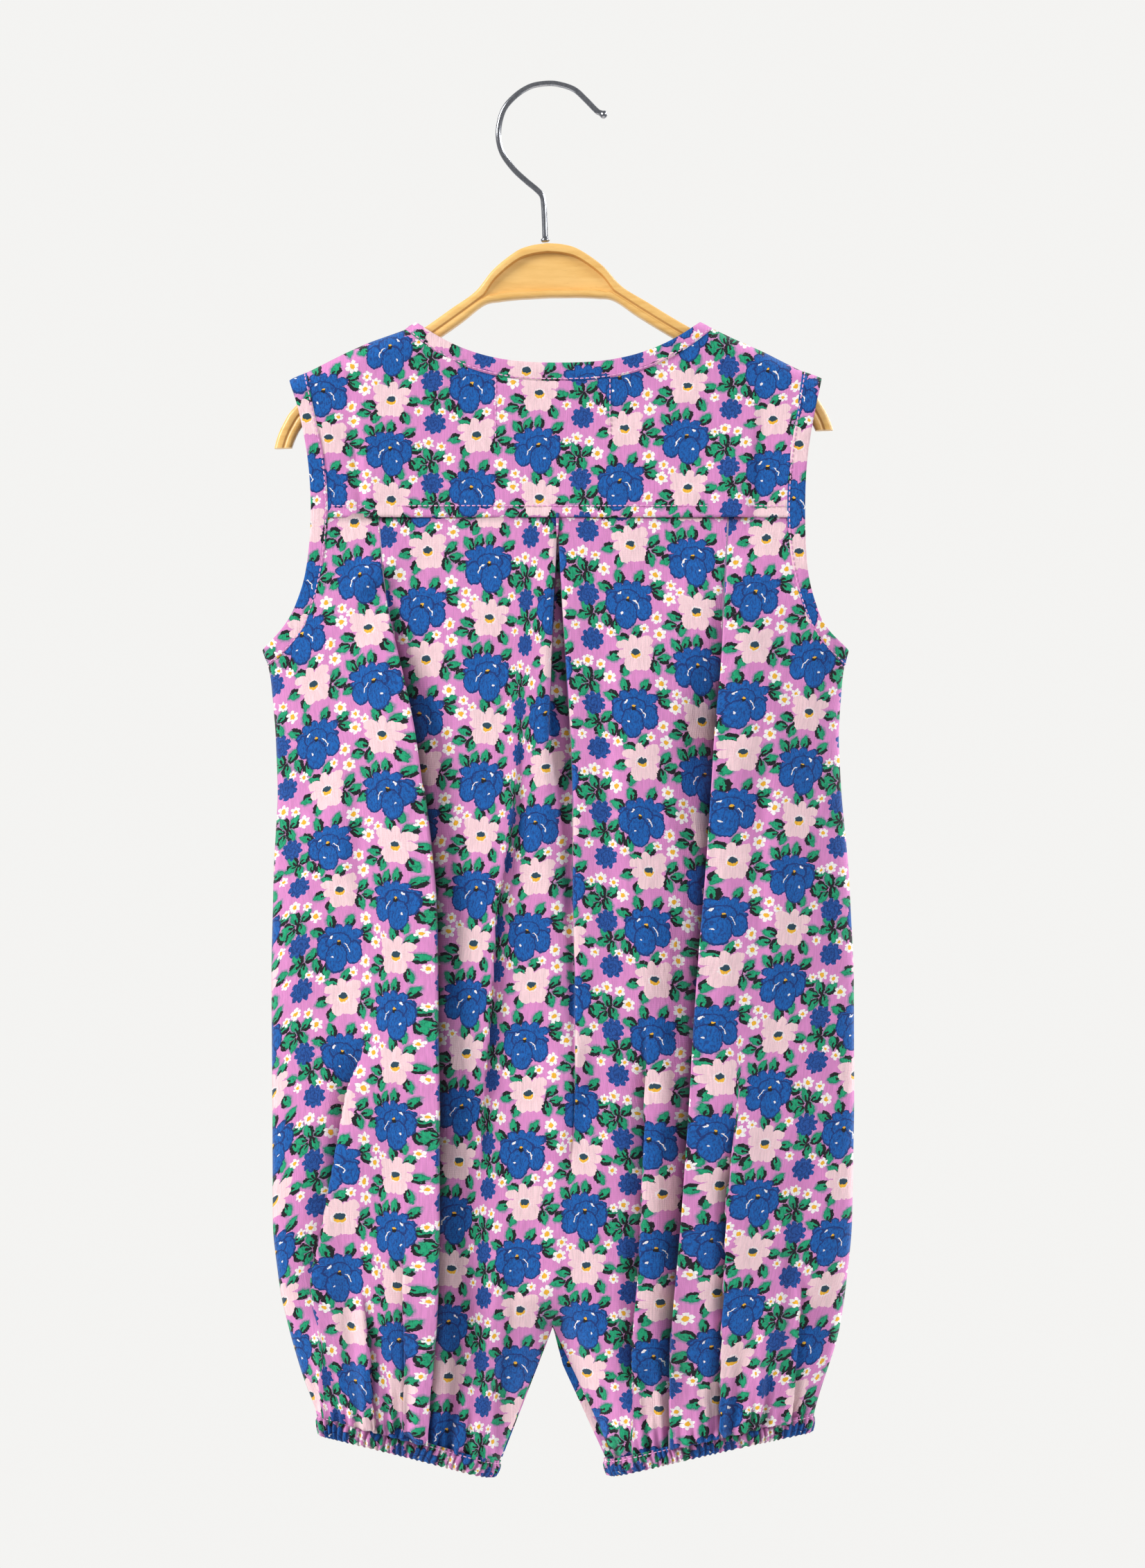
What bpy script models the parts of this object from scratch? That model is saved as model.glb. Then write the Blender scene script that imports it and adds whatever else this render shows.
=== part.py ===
# Sleeveless bubble romper on a small wooden hanger with a wire hook.
# The garment's back faces -Y and +Z is up. The origin is the inner top of the hook.
# Every size below is in millimetres.
import math

import bmesh
import bpy
import numpy as np
from mathutils import Vector

MM = 0.001
CLOTH = 1.2
SEAM_HALF_GAP = 0.16
EDGE_GAP = 0.45
SIDE_POWER = 2.6
SIDE_ROOT = 1.0 / 2.2
RIDGE_RADIUS = 9.0
SHARP_ANGLE = math.radians(38.0)

YOKE_SEAM_Z = -216.8
CROTCH_X = 2.8
CROTCH_Z = -621.1
CROTCH_RADIUS = 22.0
LEFT_EDGE_SLOPE = 0.388
RIGHT_EDGE_SLOPE = 0.46
PLACKET_HALF = 0.6
PLACKET_WIDTH = 12.0
PLACKET_OVERHANG_LEFT = 0.6
PLACKET_OVERHANG_RIGHT = 4.0

WIRE_RADIUS = 1.45
HANGER_HALF_DEPTH = 5.5
HANGER_CHAMFER = 2.1
HANGER_GROOVE = 4.2
HANGER_TILT = math.radians(-1.9)
HANGER_TOP_X = 0.2
HANGER_TOP_Z = -78.7

NECK_SPANS = 14
FRONT_HALF_COLUMNS = (NECK_SPANS + 8) // 2
CUFF_Z = -665.6
CUFF_END_RADIUS = 16.0
CUFF_WAVES = 26
CUFF_WAVE_HEIGHT = 0.55
BUTTON_RADIUS = 5.2
BUTTON_HEIGHT = 2.2

# Cloth outline: height, left x, right x, depth of the back, depth of the front.
# Above the underarms the outline runs wide of the cloth, which the armholes cut.
OUTLINE = np.array([
    (-100.0, -240.0, 250.0, 9.2, 9.2),
    (-160.0, -228.0, 240.0, 9.4, 9.4),
    (-216.8, -180.0, 192.0, 13.0, 12.5),
    (-262.9, -153.0, 163.0, 17.5, 16.0),
    (-282.7, -142.1, 150.8, 19.0, 17.5),
    (-293.8, -138.6, 148.4, 19.8, 18.0),
    (-325.0, -135.9, 146.1, 21.0, 19.5),
    (-356.0, -134.8, 147.7, 22.0, 20.5),
    (-391.0, -136.9, 151.2, 22.5, 21.5),
    (-443.0, -138.1, 153.9, 23.0, 22.0),
    (-513.0, -137.6, 154.1, 23.0, 22.5),
    (-575.0, -137.4, 152.9, 22.5, 22.0),
    (-606.5, -133.4, 149.4, 21.0, 21.0),
    (-627.4, -128.2, 146.0, 19.5, 19.5),
    (-648.2, -122.0, 139.0, 17.5, 17.5),
    (-665.6, -114.7, 133.4, 15.5, 15.5),
    (-700.0, -113.6, 132.4, 15.0, 15.0)])

# Shoulder ridge: x, height. Between the shoulders it rises clear of the neck.
RIDGE = np.array([
    (-150.0, -157.0), (-128.9, -147.8), (-118.6, -143.3), (-101.5, -134.6),
    (-89.1, -129.0), (-78.9, -125.4), (-70.8, -122.6), (-65.1, -119.0),
    (-45.0, -104.0), (5.0, -70.0), (56.0, -103.0), (76.4, -118.1),
    (82.5, -121.8), (98.7, -129.4), (109.1, -133.9), (119.2, -139.1),
    (127.9, -143.4), (137.6, -146.8), (160.0, -157.0)])

# Armhole: height and x of the band's outer edge, height and x of its inner edge.
ARMHOLE_LEFT = np.array([
    (-147.8, -128.9, -144.1, -120.2), (-164.5, -123.7, -164.5, -116.0),
    (-189.2, -119.2, -189.2, -111.0), (-216.8, -117.8, -216.8, -109.3),
    (-243.0, -120.2, -243.0, -112.1), (-260.4, -125.4, -262.9, -117.1),
    (-271.5, -131.7, -278.2, -124.7), (-282.7, -142.1, -290.7, -138.9)])
ARMHOLE_RIGHT = np.array([
    (-146.8, 137.6, -143.4, 127.9), (-164.5, 133.8, -164.5, 124.8),
    (-189.2, 130.0, -189.2, 121.3), (-216.8, 129.0, -216.8, 120.1),
    (-243.0, 130.3, -243.0, 123.0), (-260.4, 134.5, -262.9, 128.6),
    (-271.5, 139.7, -278.2, 136.6), (-282.7, 150.8, -290.7, 148.7)])

# Stations down an armhole, as places in its table.
ARMHOLE_STOPS = (0.0, 0.06, 0.2, 0.45, 0.9, 1.5, 2.2, 3.0, 3.8, 4.6, 5.2, 5.7, 6.2,
                 6.6, 6.85)

# Neck edges: centre x, half width, lowest height, rise to the ridge, curve power.
NECK_BACK_TOP = (5.7, 70.9, -139.3, 20.5, 2.6)
NECK_BACK_LOW = (5.9, 76.7, -148.4, 26.1, 2.6)
NECK_FRONT_TOP = (5.7, 70.9, -176.0, 57.2, 2.3)
NECK_FRONT_LOW = (5.9, 76.7, -185.4, 63.1, 2.3)

# Back folds: height, x of the left crest, pleat's left edge, pleat's right edge
# and right crest, then how far out the left crest stands, how deep the pleat is
# and how far out the right crest stands.
BACK_FOLDS = np.array([
    (-216.8, -85.0, 2.8, 7.4, 94.0, 0.4, 0.6, 0.4),
    (-262.0, -81.0, 2.6, 8.2, 89.8, 2.2, 2.6, 3.4),
    (-326.0, -68.5, 0.4, 12.2, 87.2, 4.4, 4.4, 5.6),
    (-406.0, -59.1, 1.2, 13.2, 82.0, 6.0, 4.0, 6.2),
    (-505.0, -57.7, 3.6, 14.4, 74.8, 7.0, 2.6, 6.6),
    (-573.0, -57.3, 0.4, 10.4, 69.8, 6.6, 1.0, 6.2),
    (-621.1, -58.8, -3.0, 9.0, 66.0, 3.6, 0.0, 3.6),
    (-690.0, -60.5, -9.0, 16.0, 64.0, 1.4, 0.0, 1.4)])
FOLD_STEP = 6.0
BACK_SPANS = (5, 2, 4, 1, 1, 1, 1, 4, 2, 5)

# Hem lines: x and height at the outer end, then at the inner end.
LEFT_CUFF_TOP = (-114.7, -665.6, -23.6, -689.2)
LEFT_CUFF_LOW = (-113.6, -676.6, -26.9, -697.2)
RIGHT_CUFF_TOP = (133.4, -665.6, 29.2, -688.2)
RIGHT_CUFF_LOW = (132.3, -674.8, 30.8, -696.4)

# Hanger half: upper edge x, z, lower edge x, z, where the recess ends, its depth.
HANGER_HALF = np.array([
    (0.0, -0.2, 0.0, -27.4, 24.0, 2.8), (8.3, -1.2, 7.6, -27.6, 23.2, 2.8),
    (16.0, -4.0, 15.3, -27.8, 20.6, 2.8), (27.4, -12.5, 24.3, -28.5, 12.8, 2.2),
    (36.8, -23.3, 32.7, -30.1, 5.6, 0.8), (49.3, -31.6, 44.5, -38.6, 5.6, 0.5),
    (64.2, -41.4, 59.8, -48.6, 5.6, 0.5), (80.2, -50.6, 76.3, -58.6, 5.6, 0.5),
    (103.6, -60.4, 99.6, -69.2, 5.6, 0.5), (119.0, -69.8, 114.2, -77.5, 5.6, 0.5),
    (130.4, -79.5, 122.8, -84.0, 5.6, 0.5), (134.9, -86.0, 126.9, -89.2, 5.6, 0.5),
    (138.1, -92.4, 129.6, -94.2, 5.6, 0.5), (140.0, -98.5, 131.4, -98.5, 5.6, 0.5)])

# Hook wire from its free end: x, height, share of the wire's radius.
HOOK = np.array([
    (30.0, -14.8, 0.55), (29.3, -14.5, 1.1), (28.2, -14.0, 1.25),
    (27.0, -13.4, 1.0), (25.0, -12.3, 1.0), (19.5, -6.7, 1.0),
    (13.9, -1.7, 1.0), (6.6, 0.9, 1.0), (0.0, 1.45, 1.0),
    (-8.3, -0.1, 1.0), (-16.0, -5.0, 1.0), (-21.9, -12.3, 1.0),
    (-24.3, -23.1, 1.0), (-22.6, -32.8, 1.0), (-17.0, -41.1, 1.0),
    (-10.4, -47.4, 1.0), (-5.2, -51.7, 1.0), (-2.4, -54.9, 1.0),
    (-1.6, -59.0, 1.0), (-1.2, -66.2, 1.0), (-0.9, -74.6, 1.0),
    (-0.85, -75.8, 1.0), (-0.8, -76.6, 1.5), (-0.75, -77.6, 1.5),
    (-0.7, -78.2, 1.0)])


def between(table, z, column):
    """Smooth value of one column at a height, for a table that runs downwards."""
    return float(np.interp(-z, -table[:, 0], table[:, column]))


def step(t):
    t = min(1.0, max(0.0, t))
    return t * t * (3.0 - 2.0 * t)


def curve(rows, t):
    """Point on a smooth curve through the rows, t from 0 to the last row."""
    last = len(rows) - 1
    i = min(last - 1, max(0, int(math.floor(t))))
    f = t - i
    p1, p2 = rows[i], rows[i + 1]
    p0 = rows[i - 1] if i > 0 else 2 * p1 - p2
    p3 = rows[i + 2] if i + 2 <= last else 2 * p2 - p1
    return 0.5 * (2 * p1 + (p2 - p0) * f + (2 * p0 - 5 * p1 + 4 * p2 - p3) * f * f
                  + (3 * p1 - p0 - 3 * p2 + p3) * f ** 3)


def leg_edge(z, right):
    drop = max(0.0, CROTCH_Z - z)
    return CROTCH_X + (RIGHT_EDGE_SLOPE if right else -LEFT_EDGE_SLOPE) * drop


def closing(x, z):
    """0 at the crotch edge and 1 well away from it."""
    if z > CROTCH_Z:
        away = math.hypot(x - CROTCH_X, z - CROTCH_Z)
    else:
        away = max(x - leg_edge(z, True), leg_edge(z, False) - x, 0.0)
    return math.sin(0.5 * math.pi * min(1.0, away / CROTCH_RADIUS))


def depth(x, z, front):
    """Distance of the cloth's outer face from the middle plane."""
    left, right = between(OUTLINE, z, 1), between(OUTLINE, z, 2)
    across = min(1.0, abs(x - 0.5 * (left + right)) / (0.5 * (right - left)))
    share = (1.0 - across ** SIDE_POWER) ** SIDE_ROOT
    below = float(np.interp(x, RIDGE[:, 0], RIDGE[:, 1])) - z
    t = min(1.0, max(0.0, below / RIDGE_RADIUS))
    share *= math.sqrt(1.0 - (1.0 - t) ** 2)
    shut = closing(x, z)
    edge = SEAM_HALF_GAP + (PLACKET_HALF + 0.35 - SEAM_HALF_GAP) * (1.0 - shut)
    return edge + between(OUTLINE, z, 4 if front else 3) * share * shut


def on_cloth(x, z, front, out=0.0):
    y = depth(x, z, front) + out
    return Vector((x, y if front else -y, z))


def neck(edge, t):
    centre, half, low, rise, power = edge
    return centre + half * t, low + rise * abs(t) ** power


def add_object(name, points, faces, colour, rough, metal=0.0):
    mesh = bpy.data.meshes.new(name)
    work = bmesh.new()
    verts = [work.verts.new(p * MM) for p in points]
    for face in faces:
        work.faces.new([verts[i] for i in face])
    bmesh.ops.triangulate(work, faces=[f for f in work.faces if len(f.verts) > 4])
    bmesh.ops.recalc_face_normals(work, faces=work.faces)
    work.to_mesh(mesh)
    work.free()
    item = bpy.data.objects.new(name, mesh)
    bpy.context.collection.objects.link(item)
    paint = bpy.data.materials.new(name + "_material")
    paint.use_nodes = True
    shader = paint.node_tree.nodes["Principled BSDF"]
    shader.inputs["Base Color"].default_value = (*colour, 1.0)
    shader.inputs["Roughness"].default_value = rough
    shader.inputs["Metallic"].default_value = metal
    mesh.materials.append(paint)
    mesh.shade_smooth()
    mesh.set_sharp_from_angle(angle=SHARP_ANGLE)
    return item


def thicken(points, faces, level):
    """Give a sheet its wall. Points in level keep their height on the inner face."""
    normals = [Vector((0, 0, 0)) for _ in points]
    edges = {}
    halves = []
    for face in faces:
        a, b, c, d = [points[i] for i in face]
        normal = (c - a).cross(d - b)
        for i in range(4):
            normals[face[i]] += normal
            pair = (face[i], face[(i + 1) % 4])
            if (pair[1], pair[0]) in edges:
                del edges[(pair[1], pair[0])]
            else:
                edges[pair] = True
        start = 0 if (c - a).length < (d - b).length else 1
        turned = face[start:] + face[:start]
        halves += [turned[:3], (turned[0], turned[2], turned[3])]
    rim = {i for pair in edges for i in pair}
    inner = []
    for i, p in enumerate(points):
        n = normals[i].normalized()
        if i in rim and abs(p.y) < PLACKET_HALF + 0.4:
            n.y = 0.0
        if i in level:
            n.z = 0.0
        inner.append(p - n.normalized() * CLOTH / max(0.65, n.length))
    count = len(points)
    walls = [tuple(reversed([i + count for i in face])) for face in halves]
    sides = [(b, a, a + count, b + count) for a, b in edges]
    return points + inner, halves + walls + sides


def sheet(name, rows, front, slit_row, slit_column, level_rows, colour):
    """Cloth from rows of points. Below slit_row each row has two middle points."""
    points, index = [], []
    for r, row in enumerate(rows):
        index.append(list(range(len(points), len(points) + len(row))))
        points += row
    faces = []
    for r in range(len(rows) - 1):
        width = len(rows[0]) - 1
        for c in range(width):
            past = c >= slit_column
            upper = 1 if past and r > slit_row else 0
            lower = 1 if past and r + 1 > slit_row else 0
            a, b = index[r][c + upper], index[r][c + 1 + upper]
            d, e = index[r + 1][c + lower], index[r + 1][c + 1 + lower]
            faces.append((a, b, e, d) if front else (a, d, e, b))
    level = {i for r in level_rows for i in index[r]}
    outer, shell = thicken(points, faces, level)
    return add_object(name, outer, shell, colour, 0.9)


def band(name, upper, lower, colour, waves=0, height=0.0):
    """Closed strip between two closed lines, turned outwards from its middle."""
    count = len(upper)
    middle = sum(upper, Vector()) / count
    outer_u, outer_l, inner_u, inner_l = [], [], [], []
    for i in range(count):
        along = (upper[(i + 1) % count] + lower[(i + 1) % count]
                 - upper[i - 1] - lower[i - 1])
        normal = along.cross(lower[i] - upper[i]).normalized()
        if normal.dot(upper[i] - middle) < 0.0:
            normal = -normal
        lift = normal * height * math.sin(2.0 * math.pi * waves * i / count)
        outer_u.append(upper[i] + lift)
        outer_l.append(lower[i] + lift)
        inner_u.append(upper[i] + lift - normal * CLOTH)
        inner_l.append(lower[i] + lift - normal * CLOTH)
    points = outer_u + outer_l + inner_l + inner_u
    faces = []
    for i in range(count):
        j = (i + 1) % count
        for ring in range(4):
            a, b = ring * count, ((ring + 1) % 4) * count
            faces.append((a + i, b + i, b + j, a + j))
    return add_object(name, points, faces, colour, 0.9)


def top_line(front):
    """Upper edge of the cloth from the left armhole over the neck to the right."""
    edge = NECK_FRONT_LOW if front else NECK_BACK_LOW
    line = []
    shoulder, across = 4, NECK_SPANS
    ends = [neck(edge, -1.0)[0] - EDGE_GAP, neck(edge, 1.0)[0] + EDGE_GAP]
    start, stop = ARMHOLE_LEFT[0, 3] + EDGE_GAP, ARMHOLE_RIGHT[0, 3] - EDGE_GAP
    for k in range(shoulder):
        x = start + (ends[0] - start) * k / shoulder
        line.append((x, float(np.interp(x, RIDGE[:, 0], RIDGE[:, 1]))))
    for k in range(across + 1):
        t = math.sin(math.pi * (k / across - 0.5))
        x, z = neck(edge, t)
        x += EDGE_GAP * t ** 5
        top = float(np.interp(x, RIDGE[:, 0], RIDGE[:, 1]))
        line.append((x, min(top, z - EDGE_GAP * (1.0 - t ** 8))))
    for k in range(1, shoulder + 1):
        x = ends[1] + (stop - ends[1]) * k / shoulder
        line.append((x, float(np.interp(x, RIDGE[:, 0], RIDGE[:, 1]))))
    return line


def chest_rows(front):
    """Rows of cloth from the shoulders and neck down to the yoke seam."""
    top = top_line(front)
    shift = np.array((0.0, EDGE_GAP))
    foot_l = (curve(ARMHOLE_LEFT, 3.0)[2:] + shift)[::-1]
    foot_r = (curve(ARMHOLE_RIGHT, 3.0)[2:] - shift)[::-1]
    shares = (0.0, 0.009, 0.034, 0.074, 0.125, 0.26, 0.44, 0.63, 0.82, 1.0)
    rows = []
    for v in shares:
        side_l = (curve(ARMHOLE_LEFT, 3.0 * v)[2:] + shift)[::-1]
        side_r = (curve(ARMHOLE_RIGHT, 3.0 * v)[2:] - shift)[::-1]
        row = []
        for x, z in top:
            u = (x - top[0][0]) / (top[-1][0] - top[0][0])
            foot = foot_l[0] + (foot_r[0] - foot_l[0]) * u
            px = (1 - v) * x + v * foot
            pz = (1 - v) * z + v * YOKE_SEAM_Z
            straight_l = [(1 - v) * top[0][i] + v * foot_l[i] for i in (0, 1)]
            straight_r = [(1 - v) * top[-1][i] + v * foot_r[i] for i in (0, 1)]
            px += (1 - u) * (side_l[0] - straight_l[0]) + u * (side_r[0] - straight_r[0])
            pz += (1 - u) * (side_l[1] - straight_l[1]) + u * (side_r[1] - straight_r[1])
            row.append((px, pz))
        rows.append([on_cloth(x, z, front) for x, z in row])
    return rows


def armhole_edge(table):
    """The band's inner edge as heights and x, at the stations of the band."""
    return np.array([curve(table, t)[2:] for t in ARMHOLE_STOPS + (7.0,)])


EDGE_LEFT, EDGE_RIGHT = armhole_edge(ARMHOLE_LEFT), armhole_edge(ARMHOLE_RIGHT)


def side_x(z, right, inward=0.0):
    """Side of the cloth: the armhole above the underarm, the outline below it."""
    edge = EDGE_RIGHT if right else EDGE_LEFT
    if z > edge[-1, 0]:
        inward = -inward if right else inward
        return float(np.interp(-z, -edge[:, 0], edge[:, 1])) + inward
    return between(OUTLINE, z, 2 if right else 1)


BODY_Z = tuple(EDGE_LEFT[ARMHOLE_STOPS.index(3.0) + 1:-1, 0]) + (
    -291.6, -304.0, -323.0, -345.0, -372.0, -402.0, -434.0, -468.0, -504.0, -538.0,
    -566.0, -588.0, -603.0, -613.0, CROTCH_Z)
LEG_STEPS = (0.3, 0.65, 1.0)


def hem_height(x, right):
    top = RIGHT_CUFF_TOP if right else LEFT_CUFF_TOP
    t = min(1.0, max(0.0, (x - top[0]) / (top[2] - top[0])))
    return top[1] + (top[3] - top[1]) * (0.5 * t + 0.5 * t ** 1.3) + EDGE_GAP


def leg_rows(columns, out, front):
    """Rows from the crotch to the hems; the slit doubles the middle point."""
    rows = []
    for share in LEG_STEPS:
        row = []
        for right in (False, True):
            hem = [hem_height(x, right) for x in columns(CROTCH_Z, right)]
            for _ in range(3):
                z = [CROTCH_Z + (h - CROTCH_Z) * share for h in hem]
                x = [columns(z[i], right)[i] for i in range(len(z))]
                hem = [hem_height(x[i], right) for i in range(len(x))]
            for i in range(len(x)):
                row.append(on_cloth(x[i], z[i], front, out(x[i], z[i], i, right)))
        rows.append(row)
    return rows


def spread(anchors, spans):
    line = []
    for i, count in enumerate(spans):
        for k in range(count):
            line.append(anchors[i] + (anchors[i + 1] - anchors[i]) * k / count)
    line.append(anchors[-1])
    return line


def back_lines(z):
    """x and outward shift of every column of the back at one height."""
    fold = [between(BACK_FOLDS, z, c) for c in range(8)]
    left, right = side_x(z, False, EDGE_GAP), side_x(z, True, EDGE_GAP)
    middle = 0.5 * (fold[2] + fold[3]) if z > CROTCH_Z + 60 else CROTCH_X + (
        0.5 * (fold[2] + fold[3]) - CROTCH_X) * step((z - CROTCH_Z) / 60.0)
    dip = fold[6]
    xs = [left, fold[1], fold[1] + FOLD_STEP, fold[2], 0.5 * (fold[2] + middle), middle,
          0.5 * (fold[3] + middle), fold[3], fold[4] - FOLD_STEP, fold[4], right]
    outs = [0.0, fold[5], -0.8 * fold[5] / 7.0, 0.3 * dip, -dip, -dip,
            -dip, 0.5 * dip, -0.8 * fold[7] / 7.0, fold[7], 0.0]
    across, shift = [], []
    for i, count in enumerate(BACK_SPANS):
        for k in range(count):
            t = k / count
            across.append(xs[i] + (xs[i + 1] - xs[i]) * t)
            shift.append(outs[i] + (outs[i + 1] - outs[i]) * step(t))
    return across + [right], shift + [0.0]


def build_back():
    slit = sum(BACK_SPANS[:5])
    rows = []
    for z in (YOKE_SEAM_Z - EDGE_GAP,) + BODY_Z:
        xs, outs = back_lines(z)
        row = []
        for x, out in zip(xs, outs):
            row.append(on_cloth(x, z, False, out * closing(x, z)))
        rows.append(row)

    def columns(z, right):
        xs = back_lines(max(z, CROTCH_Z))[0]
        edge = leg_edge(z, right)
        half = xs[slit:] if right else xs[:slit + 1]
        outer = side_x(z, right)
        old_out, old_in = (half[-1], half[0]) if right else (half[0], half[-1])
        return [outer + (x - old_out) * (edge - outer) / (old_in - old_out) for x in half]

    def out(x, z, i, right):
        shift = back_lines(z)[1]
        return shift[slit + i if right else i] * closing(x, z)

    rows += leg_rows(columns, out, False)
    return sheet("back_panel", rows, False, len(BODY_Z), slit, (0,), (0.57, 0.16, 0.55))


def front_columns(z):
    """Columns of the front at one height, closer together near the sides."""
    left, right = side_x(z, False, EDGE_GAP), side_x(z, True, EDGE_GAP)
    middle = 5.4 + (CROTCH_X - 5.4) * step((YOKE_SEAM_Z - z) / (YOKE_SEAM_Z - CROTCH_Z))
    top = top_line(True)
    turn = step((YOKE_SEAM_Z - z) / 75.0)
    xs = []
    for j, (x, _) in enumerate(top):
        u = (x - top[0][0]) / (top[-1][0] - top[0][0])
        high = left + (right - left) * u
        k = j / FRONT_HALF_COLUMNS
        if k <= 1.0:
            low = left + (middle - left) * k ** 1.3
        else:
            low = right + (middle - right) * (2.0 - k) ** 1.3
        xs.append(high + (low - high) * turn)
    return xs


def build_front():
    rows = []
    for z in (YOKE_SEAM_Z - EDGE_GAP,) + BODY_Z:
        rows.append([on_cloth(x, z, True) for x in front_columns(z)])

    def columns(z, right):
        xs = front_columns(max(z, CROTCH_Z))
        half = xs[FRONT_HALF_COLUMNS:] if right else xs[:FRONT_HALF_COLUMNS + 1]
        edge = leg_edge(z, right)
        outer = side_x(z, right)
        old_out, old_in = (half[-1], half[0]) if right else (half[0], half[-1])
        return [outer + (x - old_out) * (edge - outer) / (old_in - old_out) for x in half]

    rows += leg_rows(columns, lambda x, z, i, right: 0.0, True)
    return sheet("front_panel", rows, True, len(BODY_Z), FRONT_HALF_COLUMNS, (0,),
                 (0.57, 0.16, 0.55))


def build_neck_band():
    upper, lower = [], []
    for front in (False, True):
        high = NECK_FRONT_TOP if front else NECK_BACK_TOP
        low = NECK_FRONT_LOW if front else NECK_BACK_LOW
        for k in range(NECK_SPANS):
            t = math.sin(math.pi * (k / NECK_SPANS - 0.5)) * (-1.0 if front else 1.0)
            for edge, line in ((high, upper), (low, lower)):
                x, z = neck(edge, t)
                if k == 0:
                    line.append(Vector((x, 0.0, z)))
                else:
                    line.append(on_cloth(x, z, front))
    return band("neck_band", upper, lower, (0.55, 0.15, 0.5))


def build_armhole_band(name, table):
    walk = [(t, False) for t in ARMHOLE_STOPS] + [(7.0, True)]
    walk += [(t, True) for t in reversed(ARMHOLE_STOPS[1:])]
    upper, lower = [], []
    for t, front in walk:
        outer_z, outer_x, inner_z, inner_x = curve(table, t)
        flat = t in (0.0, 7.0)
        for x, z, line in ((outer_x, outer_z, upper), (inner_x, inner_z, lower)):
            line.append(Vector((x, 0.0, z)) if flat else on_cloth(x, z, front))
    return band(name, upper, lower, (0.55, 0.15, 0.5))


def cuff_depth(x, inner):
    """Half depth of a leg opening: the outline's round side and a round inner end."""
    left, right = between(OUTLINE, CUFF_Z, 1), between(OUTLINE, CUFF_Z, 2)
    across = min(1.0, abs(x - 0.5 * (left + right)) / (0.5 * (right - left)))
    reach = min(1.0, abs(x - inner) / CUFF_END_RADIUS)
    share = (1.0 - across ** SIDE_POWER) ** SIDE_ROOT
    return between(OUTLINE, CUFF_Z, 3) * share * math.sqrt(1.0 - (1.0 - reach) ** 2)


def build_cuff(name, top, low):
    """Gathered casing round a leg opening, in even steps round its loop."""
    fine = 160
    upper, lower = [], []
    for front in (False, True):
        for k in range(fine):
            w = 0.5 - 0.5 * math.cos(math.pi * k / fine)
            w = 1.0 - w if front else w
            bend = 0.5 * w + 0.5 * w ** 1.3
            x_top = top[0] + (top[2] - top[0]) * w
            z_top = top[1] + (top[3] - top[1]) * bend
            x_low = low[0] + (low[2] - low[0]) * w
            z_low = low[1] + (low[3] - low[1]) * bend
            y = cuff_depth(x_top, top[2])
            y = y if front else -y
            upper.append(Vector((x_top, y, z_top)))
            lower.append(Vector((x_low, y, z_low)))
    lengths = [0.0]
    for i in range(len(upper)):
        lengths.append(lengths[-1] + (upper[(i + 1) % len(upper)] - upper[i]).length)
    count = CUFF_WAVES * 4
    even_u, even_l = [], []
    for i in range(count):
        at = lengths[-1] * i / count
        j = max(k for k in range(len(upper)) if lengths[k] <= at + 1e-9)
        f = (at - lengths[j]) / (lengths[j + 1] - lengths[j])
        k = (j + 1) % len(upper)
        even_u.append(upper[j].lerp(upper[k], f))
        even_l.append(lower[j].lerp(lower[k], f))
    return band(name, even_u, even_l, (0.55, 0.15, 0.52), CUFF_WAVES, CUFF_WAVE_HEIGHT)


def build_placket():
    """Flat strip along the two inner leg edges, between the back and the front."""
    points = []
    stations = ((-687.0, 0.0), (-668.0, 0.0), (-650.0, 0.0), (-636.0, 0.0), (-626.0, 0.25))
    left = [(leg_edge(z, False) + PLACKET_OVERHANG_LEFT, z, math.pi * (1.0 - turn))
            for z, turn in stations]
    top = [(CROTCH_X, CROTCH_Z - 1.4, math.pi / 2)]
    right = [(leg_edge(z, True) - PLACKET_OVERHANG_RIGHT * min(1.0, (CROTCH_Z - z) / 20.0),
              z, math.pi * turn) for z, turn in reversed(stations)]
    path = left + top + right
    for y in (-PLACKET_HALF, PLACKET_HALF):
        for x, z, angle in path:
            points.append(Vector((x, y, z)))
            points.append(Vector((x + PLACKET_WIDTH * math.cos(angle), y,
                                  z + PLACKET_WIDTH * math.sin(angle))))
    count = len(path)
    faces = []
    for i in range(count - 1):
        a, b = 2 * i, 2 * i + 2
        c = 2 * count
        faces.append((a, a + 1, b + 1, b))
        faces.append((a + c, b + c, b + 1 + c, a + 1 + c))
        faces.append((a, b, b + c, a + c))
        faces.append((a + 1, a + 1 + c, b + 1 + c, b + 1))
    faces.append((0, 2 * count, 2 * count + 1, 1))
    last = 2 * count - 2
    faces.append((last, last + 1, last + 1 + 2 * count, last + 2 * count))
    return add_object("crotch_placket", points, faces, (0.55, 0.15, 0.5), 0.9)


def build_front_placket():
    rows = []
    for z in (-187.6, -200.0, -214.0, -230.0, -246.0, -262.0, -278.0, -292.0):
        rows.append([on_cloth(x, z, True, CLOTH + 0.35)
                     for x in (-5.6, -1.9, 1.9, 5.6, 9.3, 13.0, 16.6)])
    return sheet("front_placket", rows, True, 99, 99, (), (0.55, 0.15, 0.5))


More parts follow.
